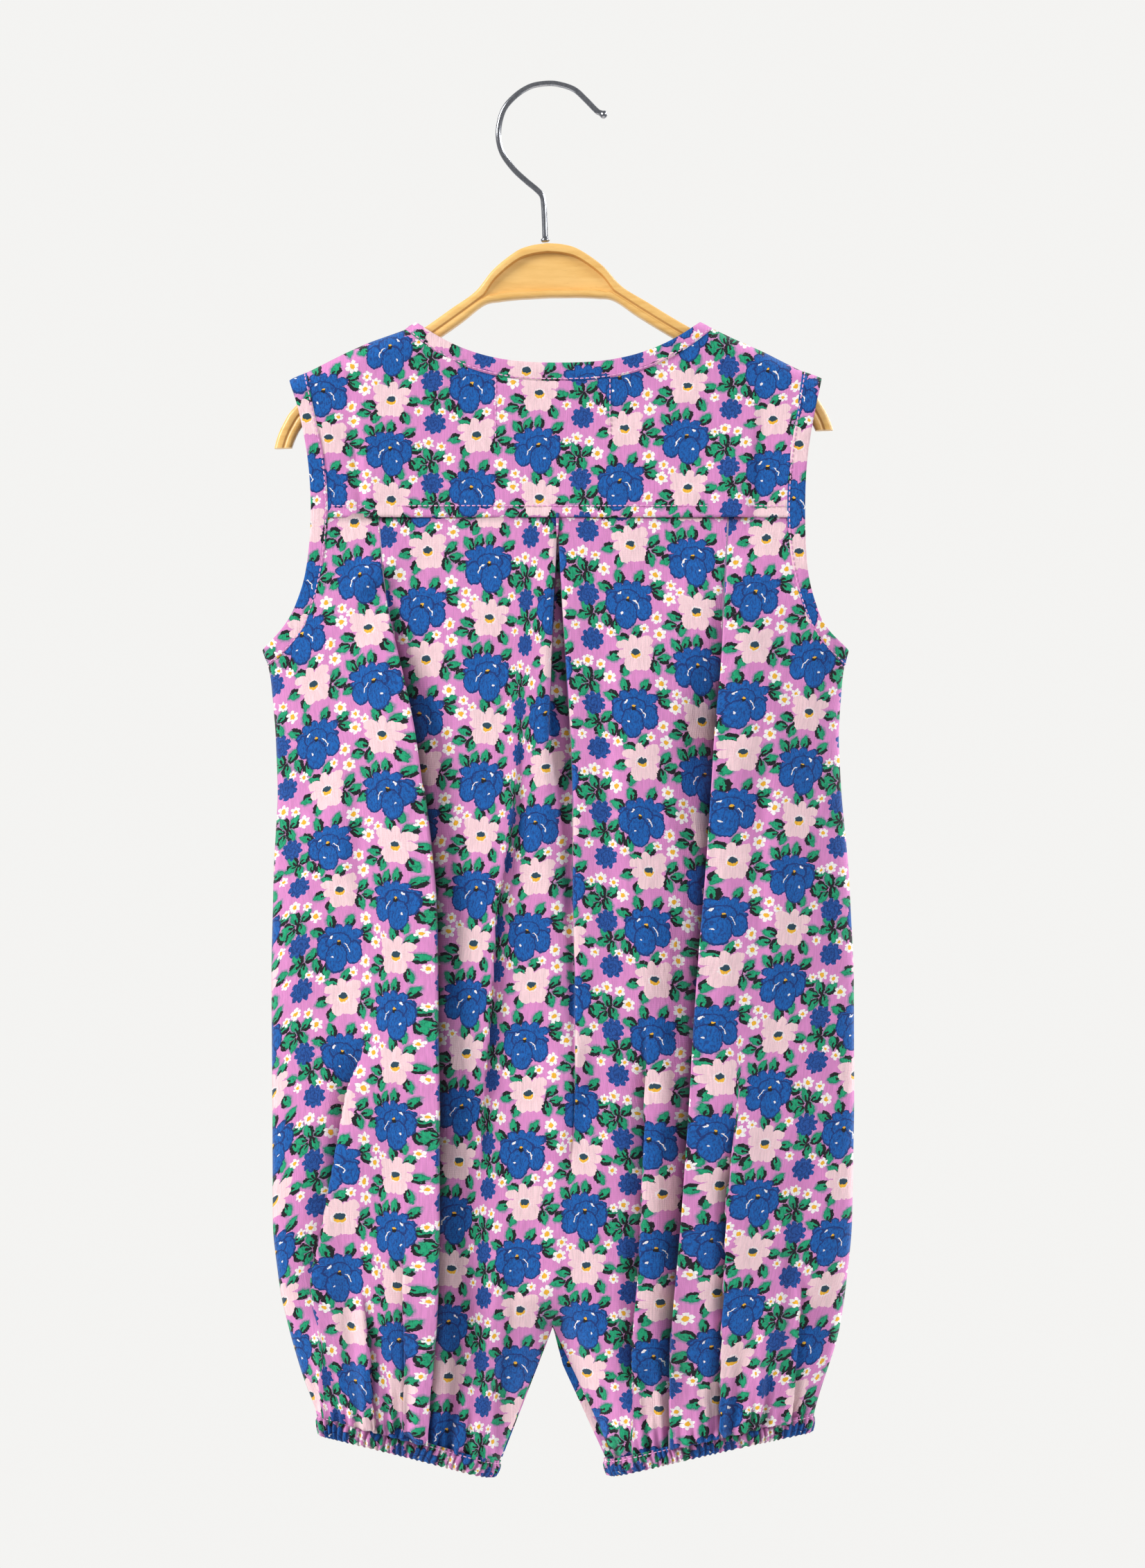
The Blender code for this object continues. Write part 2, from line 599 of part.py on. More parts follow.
def build_button(number, z):
    centre = 5.5
    slope = math.atan2(depth(centre, z - 4, True) - depth(centre, z + 4, True), 8.0)
    points, faces = [], []
    sides = 14
    profile = ((BUTTON_RADIUS - 0.5, 0.0), (BUTTON_RADIUS, 0.6),
               (BUTTON_RADIUS, BUTTON_HEIGHT - 0.4), (BUTTON_RADIUS - 0.6, BUTTON_HEIGHT),
               (BUTTON_RADIUS - 1.4, BUTTON_HEIGHT - 0.5))
    for radius, up in profile:
        for k in range(sides):
            angle = 2 * math.pi * k / sides
            points.append(Vector((radius * math.cos(angle), radius * math.sin(angle), up)))
    for ring in range(len(profile) - 1):
        for k in range(sides):
            a, b = ring * sides + k, ring * sides + (k + 1) % sides
            faces.append((a, b, b + sides, a + sides))
    faces.append(tuple(range(sides)))
    faces.append(tuple(len(points) - 1 - k for k in range(sides)))
    item = add_object("button_%d" % number, points, faces, (0.85, 0.78, 0.86), 0.35)
    item.location = (on_cloth(centre, z, True, CLOTH + 0.35 + 0.5)) * MM
    item.rotation_euler = (slope - math.pi / 2, 0.0, 0.0)
    return item


def build_hanger():
    half = list(HANGER_HALF)
    stations = [row * np.array([-1, 1, -1, 1, 1, 1]) for row in reversed(half[1:])] + half
    points = []
    for top_x, top_z, low_x, low_z, recess_end, recess in stations:
        top, low = Vector((top_x, 0, top_z)), Vector((low_x, 0, low_z))
        length = (low - top).length
        way = (low - top) / length
        wide = HANGER_HALF_DEPTH
        face = ((0.0, wide - HANGER_CHAMFER), (HANGER_CHAMFER, wide),
                (min(HANGER_GROOVE, 0.46 * length), wide),
                (min(HANGER_GROOVE + 0.5, 0.52 * length), wide - recess),
                (min(recess_end, 0.68 * length) - 0.5
                 if length < 12 else recess_end - 0.5, wide - recess),
                (min(recess_end, 0.68 * length) if length < 12 else recess_end, wide),
                (length - HANGER_CHAMFER, wide), (length, wide - HANGER_CHAMFER))
        for along, y in face:
            points.append(top + way * along + Vector((0, -y, 0)))
        for along, y in reversed(face):
            points.append(top + way * along + Vector((0, y, 0)))
    faces = []
    ring = 16
    for s in range(len(stations) - 1):
        for k in range(ring):
            a, b = s * ring + k, s * ring + (k + 1) % ring
            faces.append((a, b, b + ring, a + ring))
    faces.append(tuple(range(ring)))
    faces.append(tuple(len(points) - 1 - k for k in range(ring)))
    item = add_object("hanger_body", points, faces, (0.84, 0.56, 0.2), 0.45)
    item.location = Vector((HANGER_TOP_X, 0.0, HANGER_TOP_Z)) * MM
    item.rotation_euler = (0.0, HANGER_TILT, 0.0)
    return item


def build_hook():
    count, sides = 56, 12
    line = []
    for k in range(count + 1):
        t = (len(HOOK) - 1) * k / count
        line.append(curve(HOOK, t))
    points = []
    for i, (x, z, share) in enumerate(line):
        before, after = line[max(0, i - 1)], line[min(count, i + 1)]
        along = Vector((after[0] - before[0], 0, after[1] - before[1])).normalized()
        across = Vector((along.z, 0, -along.x))
        for k in range(sides):
            angle = 2 * math.pi * k / sides
            spoke = across * math.cos(angle) + Vector((0, 1, 0)) * math.sin(angle)
            points.append(Vector((x, 0, z)) + spoke * WIRE_RADIUS * share)
    faces = []
    for s in range(count):
        for k in range(sides):
            a, b = s * sides + k, s * sides + (k + 1) % sides
            faces.append((a, b, b + sides, a + sides))
    faces.append(tuple(range(sides)))
    faces.append(tuple(len(points) - 1 - k for k in range(sides)))
    return add_object("hanger_hook", points, faces, (0.75, 0.76, 0.78), 0.15, 1.0)


for old in list(bpy.data.objects):
    bpy.data.objects.remove(old)

sheet("back_yoke", chest_rows(False), False, 99, 99, (9,), (0.57, 0.16, 0.55))
sheet("front_yoke", chest_rows(True), True, 99, 99, (9,), (0.57, 0.16, 0.55))
build_back()
build_front()
build_neck_band()
build_armhole_band("armhole_band_left", ARMHOLE_LEFT)
build_armhole_band("armhole_band_right", ARMHOLE_RIGHT)
build_cuff("leg_cuff_left", LEFT_CUFF_TOP, LEFT_CUFF_LOW)
build_cuff("leg_cuff_right", RIGHT_CUFF_TOP, RIGHT_CUFF_LOW)
build_placket()
build_front_placket()
for number in range(4):
    build_button(number + 1, -197.0 - 25.0 * number)
build_hanger()
build_hook()
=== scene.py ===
import math
from functools import partial

import bpy
import numpy as np
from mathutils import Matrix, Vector, noise


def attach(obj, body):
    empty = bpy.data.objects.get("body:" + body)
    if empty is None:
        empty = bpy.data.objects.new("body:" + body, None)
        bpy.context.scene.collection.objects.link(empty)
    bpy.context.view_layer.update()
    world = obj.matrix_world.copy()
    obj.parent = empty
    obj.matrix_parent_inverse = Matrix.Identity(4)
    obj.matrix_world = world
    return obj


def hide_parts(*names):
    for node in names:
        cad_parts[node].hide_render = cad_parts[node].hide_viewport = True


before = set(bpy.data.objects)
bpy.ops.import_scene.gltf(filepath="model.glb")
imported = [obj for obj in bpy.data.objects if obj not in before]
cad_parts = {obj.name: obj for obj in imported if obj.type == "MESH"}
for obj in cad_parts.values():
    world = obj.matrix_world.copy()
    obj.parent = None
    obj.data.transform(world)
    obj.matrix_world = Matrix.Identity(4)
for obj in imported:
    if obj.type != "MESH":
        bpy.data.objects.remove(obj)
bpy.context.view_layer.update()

# Sizes in millimetres, in the frame of the solids: the back faces -Y.
MM = 0.001
YOKE_SEAM_Z = -216.8
TOPSTITCH_RISE = 5.8
ARMHOLE_FOOT_Z = -290.7
CROTCH_X = 2.8
CROTCH_Z = -621.1
CROTCH_RADIUS = 22.0
LEFT_EDGE_SLOPE = 0.388
RIGHT_EDGE_SLOPE = 0.46
RIDGE_RADIUS = 9.0
CUFF_Z = -665.6
CUFF_END_RADIUS = 16.0
TUCK = 1.6
CLOTH_WALL = 0.45
TILE = (74.0, 53.8)
FLAT_HEM_Z = -676.0
HEM_TUCK = 1.2
CASING_DEPTH = 15.5
CASING_BLEND = 26.0
GATHER_PITCH = 3.15
FOLD_HEIGHT = 10.4
BUTTON_X = 5.5
STITCH_RADIUS = 0.32
HANGER_DEEP = 5.35
HANGER_EDGE_RADIUS = 2.0
HOLE_RADIUS = 1.05

# Cloth outline: height, left x, right x, depth of the back, depth of the front.
OUTLINE = np.array([
    (-100, -240, 250, 9.2, 9.2),
    (-160, -228, 240, 9.4, 9.4),
    (-216.8, -180, 192, 13, 12.5),
    (-262.9, -153, 163, 17.5, 16),
    (-282.7, -142.1, 150.8, 19, 17.5),
    (-293.8, -138.6, 148.4, 19.8, 18),
    (-325, -135.9, 146.1, 21, 19.5),
    (-356, -134.8, 147.7, 22, 20.5),
    (-391, -136.9, 151.2, 22.5, 21.5),
    (-443, -138.1, 153.9, 23, 22),
    (-513, -137.6, 154.1, 23, 22.5),
    (-575, -137.4, 152.9, 22.5, 22),
    (-606.5, -133.4, 149.4, 21, 21),
    (-627.4, -128.2, 146, 19.5, 19.5),
    (-648.2, -122, 139, 17.5, 17.5),
    (-665.6, -114.7, 133.4, 15.5, 15.5),
    (-700, -113.6, 132.4, 15, 15)])

# Shoulder ridge: x, height.
RIDGE = np.array([
    (-150, -157), (-128.9, -147.8), (-118.6, -143.3), (-101.5, -134.6),
    (-89.1, -129), (-78.9, -125.4), (-70.8, -122.6), (-65.1, -119),
    (-45, -104), (5, -70), (56, -103), (76.4, -118.1),
    (82.5, -121.8), (98.7, -129.4), (109.1, -133.9), (119.2, -139.1),
    (127.9, -143.4), (137.6, -146.8), (160, -157)])

# Armhole: height and x of the band's outer edge, height and x of its inner edge.
ARMHOLE_LEFT = np.array([
    (-147.8, -128.9, -144.1, -120.2), (-164.5, -123.7, -164.5, -116),
    (-189.2, -119.2, -189.2, -111), (-216.8, -117.8, -216.8, -109.3),
    (-243, -120.2, -243, -112.1), (-260.4, -125.4, -262.9, -117.1),
    (-271.5, -131.7, -278.2, -124.7), (-282.7, -142.1, -290.7, -138.9)])
ARMHOLE_RIGHT = np.array([
    (-146.8, 137.6, -143.4, 127.9), (-164.5, 133.8, -164.5, 124.8),
    (-189.2, 130, -189.2, 121.3), (-216.8, 129, -216.8, 120.1),
    (-243, 130.3, -243, 123), (-260.4, 134.5, -262.9, 128.6),
    (-271.5, 139.7, -278.2, 136.6), (-282.7, 150.8, -290.7, 148.7)])

# Neck edges: centre x, half width, lowest height, rise to the ridge, curve power.
NECK_BACK_TOP = (5.7, 70.9, -139.3, 20.5, 2.6)
NECK_BACK_LOW = (5.9, 76.7, -148.4, 26.1, 2.6)
NECK_FRONT_TOP = (5.7, 70.9, -176, 57.2, 2.3)
NECK_FRONT_LOW = (5.9, 76.7, -185.4, 63.1, 2.3)

# Centre pleat: height, x of its left edge, x of its right edge, depth.
PLEAT = np.array([
    (-215, 5.2, 5.6, 1.2), (-240, 4.2, 6.6, 6), (-262, 2.9, 7.9, 9),
    (-290, 1.9, 9.7, 9), (-326, 0.4, 12.2, 7.4), (-356, 1.2, 13.2, 6),
    (-406, 3.2, 13.2, 4.8), (-445, 5, 14.2, 3.6), (-505, 7, 14.4, 2),
    (-573, 5, 11, 0.6), (-621.1, 0.8, 4.8, 0), (-700, 0.8, 4.8, 0)])

# Fold lines run downwards as x, height.
FOLD_LEFT = np.array([
    (-85.5, -216), (-84, -235), (-81, -262.5), (-75.4, -291.3),
    (-68.5, -325.7), (-63.2, -366), (-59.1, -406.4), (-58, -443.2),
    (-57.7, -505), (-57.3, -573.5), (-58.4, -607.9), (-59.8, -642.3),
    (-62.2, -690)])
FOLD_RIGHT = np.array([
    (93, -216), (91, -245), (89.4, -268), (89.6, -291.3),
    (87.9, -314.3), (86.2, -343.1), (84.4, -366), (82, -400.8),
    (79.9, -430), (76.1, -477.6), (74, -518.6), (71.2, -560),
    (67.8, -594.4), (65, -628.8), (64.3, -651.7), (63, -690)])

# Smaller creases: side that stands high, height, width of the high side and of
# the low side, share of the length that fades at the top and at the bottom, line.
CREASES = (
    ("left", 3.6, 26, 22, 0.35, 0.4,
     ((-12, -300), (-18.4, -367.4), (-26.8, -411.6), (-29.2, -456),
      (-33.4, -511.3), (-36, -575))),
    ("right", 6, 16, 12, 0.2, 0.25,
     ((-86, -470), (-89, -482.8), (-95.6, -503), (-100.6, -528.6),
      (-104.6, -552), (-109.4, -578), (-113, -592), (-113.8, -612),
      (-110, -632))),
    ("left", 2.4, 9, 6, 0.4, 0.4,
     ((-106, -480), (-108.1, -505.9), (-111, -526), (-112.1, -548.4),
      (-109.5, -562))),
    ("right", 5, 18, 13, 0.3, 0.1,
     ((51.4, -455), (51.1, -491.2), (51.1, -525.6), (50, -553),
      (48.6, -587.4), (45.9, -617.9), (43.8, -655))),
    ("right", 5, 15, 9, 0.25, 0.03,
     ((96, -500), (93.3, -537.8), (91, -555), (90.2, -591.9),
      (88.9, -622.9), (88.2, -650), (87.6, -676))),
    ("left", 4.4, 9, 8, 0.3, 0.03,
     ((126, -590), (122.6, -618), (121, -640), (118.6, -672))),
    ("right", 3.6, 9, 7, 0.3, 0.03,
     ((-68, -566), (-68.2, -600.7), (-67.8, -637.8), (-68.6, -676))),
    ("left", 3.6, 8, 7, 0.4, 0.03,
     ((-93, -596), (-89.6, -632.5), (-87.2, -674))),
    ("left", 2.4, 9, 12, 0.5, 0.4,
     ((-62, -233), (-67.3, -236), (-76.8, -241), (-85.5, -246),
      (-94, -252), (-102, -263))),
    ("left", 2.8, 14, 12, 0.3, 0.3,
     ((14, -470), (12.5, -490), (8.9, -519.3), (5, -545))),
    ("right", 2.6, 16, 16, 0.4, 0.4,
     ((112, -300), (114, -350), (113, -420), (109, -480))),
    ("left", 2.6, 14, 14, 0.4, 0.4,
     ((-104, -330), (-101, -380), (-99, -430))),
    ("left", 2.6, 10, 10, 0.4, 0.03,
     ((-24, -570), (-26, -610), (-31, -650), (-36, -684))),
    ("right", 2.6, 9, 8, 0.4, 0.03,
     ((100, -600), (101, -630), (103, -672))),
    ("right", 2.2, 16, 14, 0.4, 0.4,
     ((34, -262), (37, -320), (40, -390), (43, -450))))

LEFT_CUFF_TOP = (-114.7, -665.6, -23.6, -689.2)
LEFT_CUFF_LOW = (-113.6, -676.6, -26.9, -697.2)
RIGHT_CUFF_TOP = (133.4, -665.6, 29.2, -688.2)
RIGHT_CUFF_LOW = (132.3, -674.8, 30.8, -696.4)

# Hanger half: upper edge x, z, lower edge x, z, where the recess ends, its depth.
HANGER_HALF = np.array([
    (0, -0.2, 0, -27.4, 24, 2.8), (8.3, -1.2, 7.6, -27.6, 23.2, 2.8),
    (16, -4, 15.3, -27.8, 20.6, 2.8), (27.4, -12.5, 24.3, -28.5, 12.8, 2.2),
    (36.8, -23.3, 32.7, -30.1, 5.6, 0.8), (49.3, -31.6, 44.5, -38.6, 5.6, 0.5),
    (64.2, -41.4, 59.8, -48.6, 5.6, 0.5), (80.2, -50.6, 76.3, -58.6, 5.6, 0.5),
    (103.6, -60.4, 99.6, -69.2, 5.6, 0.5), (119, -69.8, 114.2, -77.5, 5.6, 0.5),
    (130.4, -79.5, 122.8, -84, 5.6, 0.5), (134.9, -86, 126.9, -89.2, 5.6, 0.5),
    (138.1, -92.4, 129.6, -94.2, 5.6, 0.5), (140, -98.5, 131.4, -98.5, 5.6, 0.5)])
HANGER_TOP = (0.2, -78.7)
HANGER_TILT = math.radians(-1.9)

# Hook wire from its free end: x, height, share of the wire's radius.
HOOK = np.array([
    (30.1, -14.8, 0.6), (29.3, -14.5, 1.3), (28.2, -14, 1.45),
    (27, -13.4, 1.05), (25, -12.3, 1), (19.5, -6.7, 1),
    (13.9, -1.7, 1), (6.6, 0.9, 1), (0, 1.45, 1),
    (-8.3, -0.1, 1), (-16, -5, 1), (-21.9, -12.3, 1),
    (-24.3, -23.1, 1), (-22.6, -32.8, 1), (-17, -41.1, 1),
    (-10.4, -47.4, 1), (-5.2, -51.7, 1), (-2.4, -54.9, 1),
    (-1.6, -59, 1), (-1.2, -66.2, 1), (-0.9, -74.6, 1),
    (-0.85, -75.8, 1), (-0.8, -76.6, 1.5), (-0.75, -77.6, 1.5),
    (-0.7, -78.2, 1)])
WIRE_RADIUS = 1.45


def smoothed(keys, values, spread):
    """Function through a table with its corners rounded over a few millimetres."""
    grid = np.arange(keys[0] - 30.0, keys[-1] + 30.0, 0.5)
    reach = int(spread * 6)
    kernel = np.exp(-0.5 * (np.arange(-reach, reach + 1) * 0.5 / spread) ** 2)
    flat = np.pad(np.interp(grid, keys, values), reach, mode="edge")
    soft = np.convolve(flat, kernel / kernel.sum(), "valid")
    return lambda at: np.interp(at, grid, soft)


OUT_LEFT, OUT_RIGHT, DEPTH_BACK, DEPTH_FRONT = (
    smoothed(-OUTLINE[:, 0], OUTLINE[:, i], 5 if i < 3 else 12) for i in range(1, 5))
RIDGE_LINE = smoothed(RIDGE[:, 0], RIDGE[:, 1], 2)
PLEAT_LEFT, PLEAT_RIGHT, PLEAT_DEEP = (
    smoothed(-PLEAT[:, 0], PLEAT[:, i], 6 if i < 3 else 8) for i in range(1, 4))
LINE_LEFT, LINE_RIGHT = (
    smoothed(-line[:, 1], line[:, 0], 10) for line in (FOLD_LEFT, FOLD_RIGHT))


def ramp(value, start, length):
    """Smooth rise from 0 at the start to 1 a length further on."""
    t = np.clip((value - start) / length, 0, 1)
    return t * t * (3 - 2 * t)


def bell(value, centre, width):
    return np.exp(-((value - centre) / width) ** 2)


def curve(rows, t):
    """Points on a smooth curve through the rows, t from 0 to the last row."""
    padded = np.vstack([2 * rows[0] - rows[1], rows, 2 * rows[-1] - rows[-2]])
    i = np.clip(np.floor(t).astype(int), 0, len(rows) - 2)
    f = (t - i)[:, None]
    p0, p1, p2, p3 = padded[i], padded[i + 1], padded[i + 2], padded[i + 3]
    return 0.5 * (2 * p1 + (p2 - p0) * f + (2 * p0 - 5 * p1 + 4 * p2 - p3) * f * f
                  + (3 * p1 - p0 - 3 * p2 + p3) * f ** 3)


def rough(x, z, scale, seed, tall=1.0):
    """Smooth noise from -1 to 1 over an array of places."""
    x, z = np.broadcast_arrays(x, z)
    flat = [noise.noise((a / scale, b / (scale * tall), seed))
            for a, b in zip(np.ravel(x), np.ravel(z))]
    return np.array(flat).reshape(x.shape) * 1.6


def leg_edge(z, right):
    slope = RIGHT_EDGE_SLOPE if right else -LEFT_EDGE_SLOPE
    return CROTCH_X + slope * np.maximum(0.0, CROTCH_Z - z)


def closing(x, z):
    """0 at the crotch edge and 1 well away from it."""
    above = np.hypot(x - CROTCH_X, z - CROTCH_Z)
    beside = np.maximum(np.maximum(x - leg_edge(z, True), leg_edge(z, False) - x), 0)
    away = np.where(z > CROTCH_Z, above, beside)
    return np.sin(0.5 * np.pi * np.clip(away / CROTCH_RADIUS, 0, 1))


def section(x, z):
    """Share of the full depth: 1 in the middle of the cloth and 0 at its sides."""
    left, right = OUT_LEFT(-z), OUT_RIGHT(-z)
    across = np.clip(np.abs(x - 0.5 * (left + right)) / (0.5 * (right - left)), 0, 1)
    return (1 - across ** 2.6) ** (1 / 2.2)


def rounded(distance, radius):
    """Share of the full height at a distance in from a rounded edge."""
    return np.sqrt(1 - (1 - np.clip(distance / radius, 0, 1)) ** 2)


def cuff_depth(x, inner):
    return CASING_DEPTH * section(x, CUFF_Z) * rounded(np.abs(x - inner), CUFF_END_RADIUS)


def depth(x, z, front):
    """Distance of the cloth's outer face from the middle plane."""
    share = section(x, z) * rounded(RIDGE_LINE(x) - z, RIDGE_RADIUS)
    shut = closing(x, z)
    full = (DEPTH_FRONT if front else DEPTH_BACK)(-z)
    return 0.12 + 0.7 * (1 - shut) + full * share * shut


def side(z, right):
    """Side of a panel, tucked a little under the armhole band."""
    line = curve(ARMHOLE_RIGHT if right else ARMHOLE_LEFT, np.linspace(0, 7, 200))
    above = np.interp(-z, -line[:, 2], line[:, 3]) + (TUCK if right else -TUCK)
    below = (OUT_RIGHT if right else OUT_LEFT)(-z)
    return np.where(z > ARMHOLE_FOOT_Z, above, below)


def normals(grid, wrap=False):
    """Unit normals of a grid of points, rows down and columns across."""
    across = np.gradient(grid, axis=1)
    if wrap:
        across = np.roll(grid, -1, axis=1) - np.roll(grid, 1, axis=1)
    cross = np.cross(np.gradient(grid, axis=0), across)
    return cross / np.maximum(np.linalg.norm(cross, axis=2, keepdims=True), 1e-9)


def outward(base):
    """Normals of a closed band, turned outwards, and whether its faces are flipped."""
    way = normals(base, wrap=True)
    flip = np.sum(way * (base - base.mean(axis=(0, 1)))) < 0
    return (-way if flip else way), flip


def places(x, y, z):
    return np.stack(np.broadcast_arrays(x, y, z), axis=-1)


def closed(grid):
    return np.concatenate([grid, grid[:, :1]], axis=1)


def along_path(path, at, spots):
    return np.array([np.interp(spots, at, path[:, i]) for i in range(3)]).T


def lengths_along(path):
    steps = np.linalg.norm(np.diff(path, axis=0), axis=1)
    return np.append(0, np.cumsum(steps))


def add_mesh(name, points, faces, uv=None, deep=None):
    mesh = bpy.data.meshes.new(name)
    mesh.from_pydata((np.reshape(points, (-1, 3)) * MM).tolist(), [], faces)
    if uv is not None:
        layer = mesh.uv_layers.new(name="print_uv")
        loops = np.empty(len(mesh.loops), dtype=np.int32)
        mesh.loops.foreach_get("vertex_index", loops)
        layer.data.foreach_set("uv", (np.reshape(uv, (-1, 2))[loops] * MM).ravel())
    # deep holds painted shade: how far the colour is darkened where folds or grooves lie in
    # shadow.
    if deep is not None:
        layer = mesh.attributes.new("deep", "FLOAT", "POINT")
        layer.data.foreach_set("value", np.clip(deep, 0, 1).ravel())
    mesh.shade_smooth()
    item = bpy.data.objects.new(name, mesh)
    bpy.context.scene.collection.objects.link(item)
    return item


def grid_faces(rows, columns, wrap=False, flip=False, start=0):
    faces = []
    for i in range(rows - 1):
        a, b = start + i * columns, start + (i + 1) * columns
        for j in range(columns if wrap else columns - 1):
            k = (j + 1) % columns
            face = (a + j, b + j, b + k, a + k)
            faces.append(face[::-1] if flip else face)
    return faces


def tube_faces(rings, sides, flip=False, start=0):
    """Faces of a closed tube with both ends filled."""
    first = tuple(range(start, start + sides))
    last = tuple(range(start + (rings - 1) * sides, start + rings * sides))
    caps = [first[::-1], last] if flip else [first, last[::-1]]
    return grid_faces(rings, sides, True, flip, start) + caps


def cloth(name, place, uv, flip=False, join=False, wall=CLOTH_WALL, deep=None, faces=None):
    """Sheet of cloth over a grid of places, with its thickness put on inwards."""
    faces = faces or grid_faces(*place.shape[:2], flip=flip)
    item = add_mesh(name, place, faces, np.stack(uv, axis=-1), deep)
    if join:
        item.modifiers.new("join", "WELD").merge_threshold = 0.00001
    shell = item.modifiers.new("wall", "SOLIDIFY")
    shell.thickness = wall * MM
    shell.offset = -1.0
    shell.use_even_offset = False
    return item


def finish_piece(item, material, slot=None, nodes=None):
    """Dress a piece; without a slot, it and its node have the name after cloth_."""
    slot = slot or item.name.replace("cloth_", "")
    nodes = [slot] if nodes is None else nodes
    item.data.materials.append(material)
    if nodes:
        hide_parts(*nodes)
    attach(item, "root")


# Where the repeat starts, by region: depth below the hook, x of the repeat's start.
PRINT_LEFT = ((216, 280, 334, 388, 498, 552, 605, 659),
              (-80, -81, -82.3, -85.7, -93.1, -97, -100.8, -101.8))
PRINT_RIGHT = ((216, 277, 385, 493, 548, 600, 680),
               (20, 22.8, 29.4, 35.3, 41.3, 41.3, 42))
PRINT_OUTER_LEFT = ((216, 285, 338, 391, 450, 690),
                    (-148.8, -139.1, -131.5, -125.7, -126.9, -126.9))
PRINT_OUTER_RIGHT = ((216, 274, 328, 378, 434, 542, 596, 648),
                     (90, 83, 76.3, 71.5, 67.9, 53.8, 48.4, 42.3))
PRINT_BETWEEN = ((216, 274, 328, 378, 434, 470, 525, 573, 690),
                 (90, 83, 76.3, 71.5, 67.9, 64, 64.9, 62.9, 62.9))
# Cloth taken up by the soft crease left of the middle: depth below the hook, x of
# the crease, width taken up.
TAKEN_UP = ((216, 317, 367, 411, 456, 511, 560, 640),
            (-5, -12, -17, -24, -28, -31, -33, -35),
            (4, 11.5, 13.5, 14.5, 12.5, 10.3, 8.5, 6))


def crease_x(number, low):
    line = np.array(CREASES[number][-1])
    return np.interp(low, -line[:, 1], line[:, 0])


def back_print(x, z, zone, is_right):
    """Place in the print, in millimetres of cloth. What a fold hides is left out."""
    low = -z
    crease, taken = (np.interp(low, TAKEN_UP[0], row) for row in TAKEN_UP[1:])
    u = x - np.interp(low, *PRINT_LEFT) + taken * ramp(x, crease - 11, 22)
    v = (z + 280.7) * 0.9945
    u_right = x - np.interp(low, *PRINT_RIGHT) + 2 * TILE[0]
    v_right = (z + 277.6) * 0.991
    centre = 0.5 * (PLEAT_LEFT(low) + PLEAT_RIGHT(low))
    crossed = ramp(low, 490, 70)
    floor = zone < 2 if is_right else zone >= 5
    share = (is_right & (zone >= 2)) * (1 - crossed) + ramp(x, centre - 9, 18) * crossed
    u = u + floor * 12 * (1 - ramp(low, 290, 50))
    u = u + (u_right - u) * share
    v = v + (v_right - v) * share
    edge = (OUT_RIGHT if is_right else OUT_LEFT)(low)
    full, start = (152.9, 65) if is_right else (-137.4, -60)
    drawn = (low > 575) * (edge - full) * np.clip((x - start) / (edge - start), 0, 1)
    if is_right:
        past = ramp(x, np.interp(low, (590, 672), (126, 118.6)) + 0.2, 2)
        between, beyond = np.interp(low, *PRINT_BETWEEN), np.interp(low, *PRINT_OUTER_RIGHT)
        crossed = ramp(x, crease_x(4, low) - 2.2, 2)
        u_side = x - between + (between - beyond - drawn) * crossed
        u_side = u_side + 2 * past * ramp(low, 575, 45)
        v_side = (z + 274.1) * 1.004
        tucked = ramp(x, crease_x(3, low) - 2.2, 2) * ramp(low, 470, 60)
        u = u + tucked * (4.5 + 2.5 * ramp(low, 560, 90))
        v = v - 2.5 * tucked
        outside = zone >= 4
    else:
        late = ramp(low, 370, 60)
        u_side = x - np.interp(low, *PRINT_OUTER_LEFT) - drawn
        u_side = u_side - 4.8 * late * ramp(x, -74, -18)
        u_side = u_side - 7 * ramp(low, 465, 50) * ramp(x, crease_x(1, low) - 0.2, -2)
        out = np.maximum(0, -80 - x) / 49
        bend = (13 - 5 * late) * ((1 - late) * out ** 1.3 + late * out ** 4)
        v_side = (z + 284.6) * 0.9844 + bend
        outside = zone <= 1
    return np.where(outside, u_side, u), np.where(outside, v_side, v)


def line_distance(x, z, line):
    """Signed distance to a line that runs down, positive on its right, and how far
    along it the nearest place is."""
    best = np.full(x.shape, 1e9)
    signed, along = np.zeros((2,) + x.shape)
    lengths = np.linalg.norm(np.diff(line, axis=0), axis=1)
    done = 0.0
    for (ax, az), (bx, bz), length in zip(line[:-1], line[1:], lengths):
        dx, dz = (bx - ax) / length, (bz - az) / length
        t_in = np.clip((x - ax) * dx + (z - az) * dz, 0, length)
        away = np.hypot(x - ax - dx * t_in, z - az - dz * t_in)
        near = away < best
        cross = dx * (z - az) - dz * (x - ax)
        signed = np.where(near, np.sign(cross) * away, signed)
        along = np.where(near, (done + t_in) / lengths.sum(), along)
        best = np.where(near, away, best)
        done += length
    return signed, along


def ledge(away, wide, low_wide, drop, under):
    """Profile of a fold: full on its high side, then a short drop and a slow rise."""
    high = bell(np.minimum(away, 0), 0, wide)
    fall = ramp(away, 0, drop)
    past = np.maximum(away - drop, 0)
    low = -under * (0.6 * bell(past, 0, low_wide) + 0.7 * np.exp(-past / 3.4))
    return np.where(away < 0, high, high * (1 - fall) + low * fall)


def overhang(away):
    """Sideways reach of a fold's edge over its low side, about 1 at the edge."""
    return np.where(away < 1.2, bell(away, -0.6, 4), -0.35 * bell(away, 3.4, 3))


def shaded(away, edge, fade):
    """Share of painted shade at the foot of a fold, standing for the light lost there."""
    return (away > 1) * np.exp(-np.maximum(away - edge, 0) / fade)


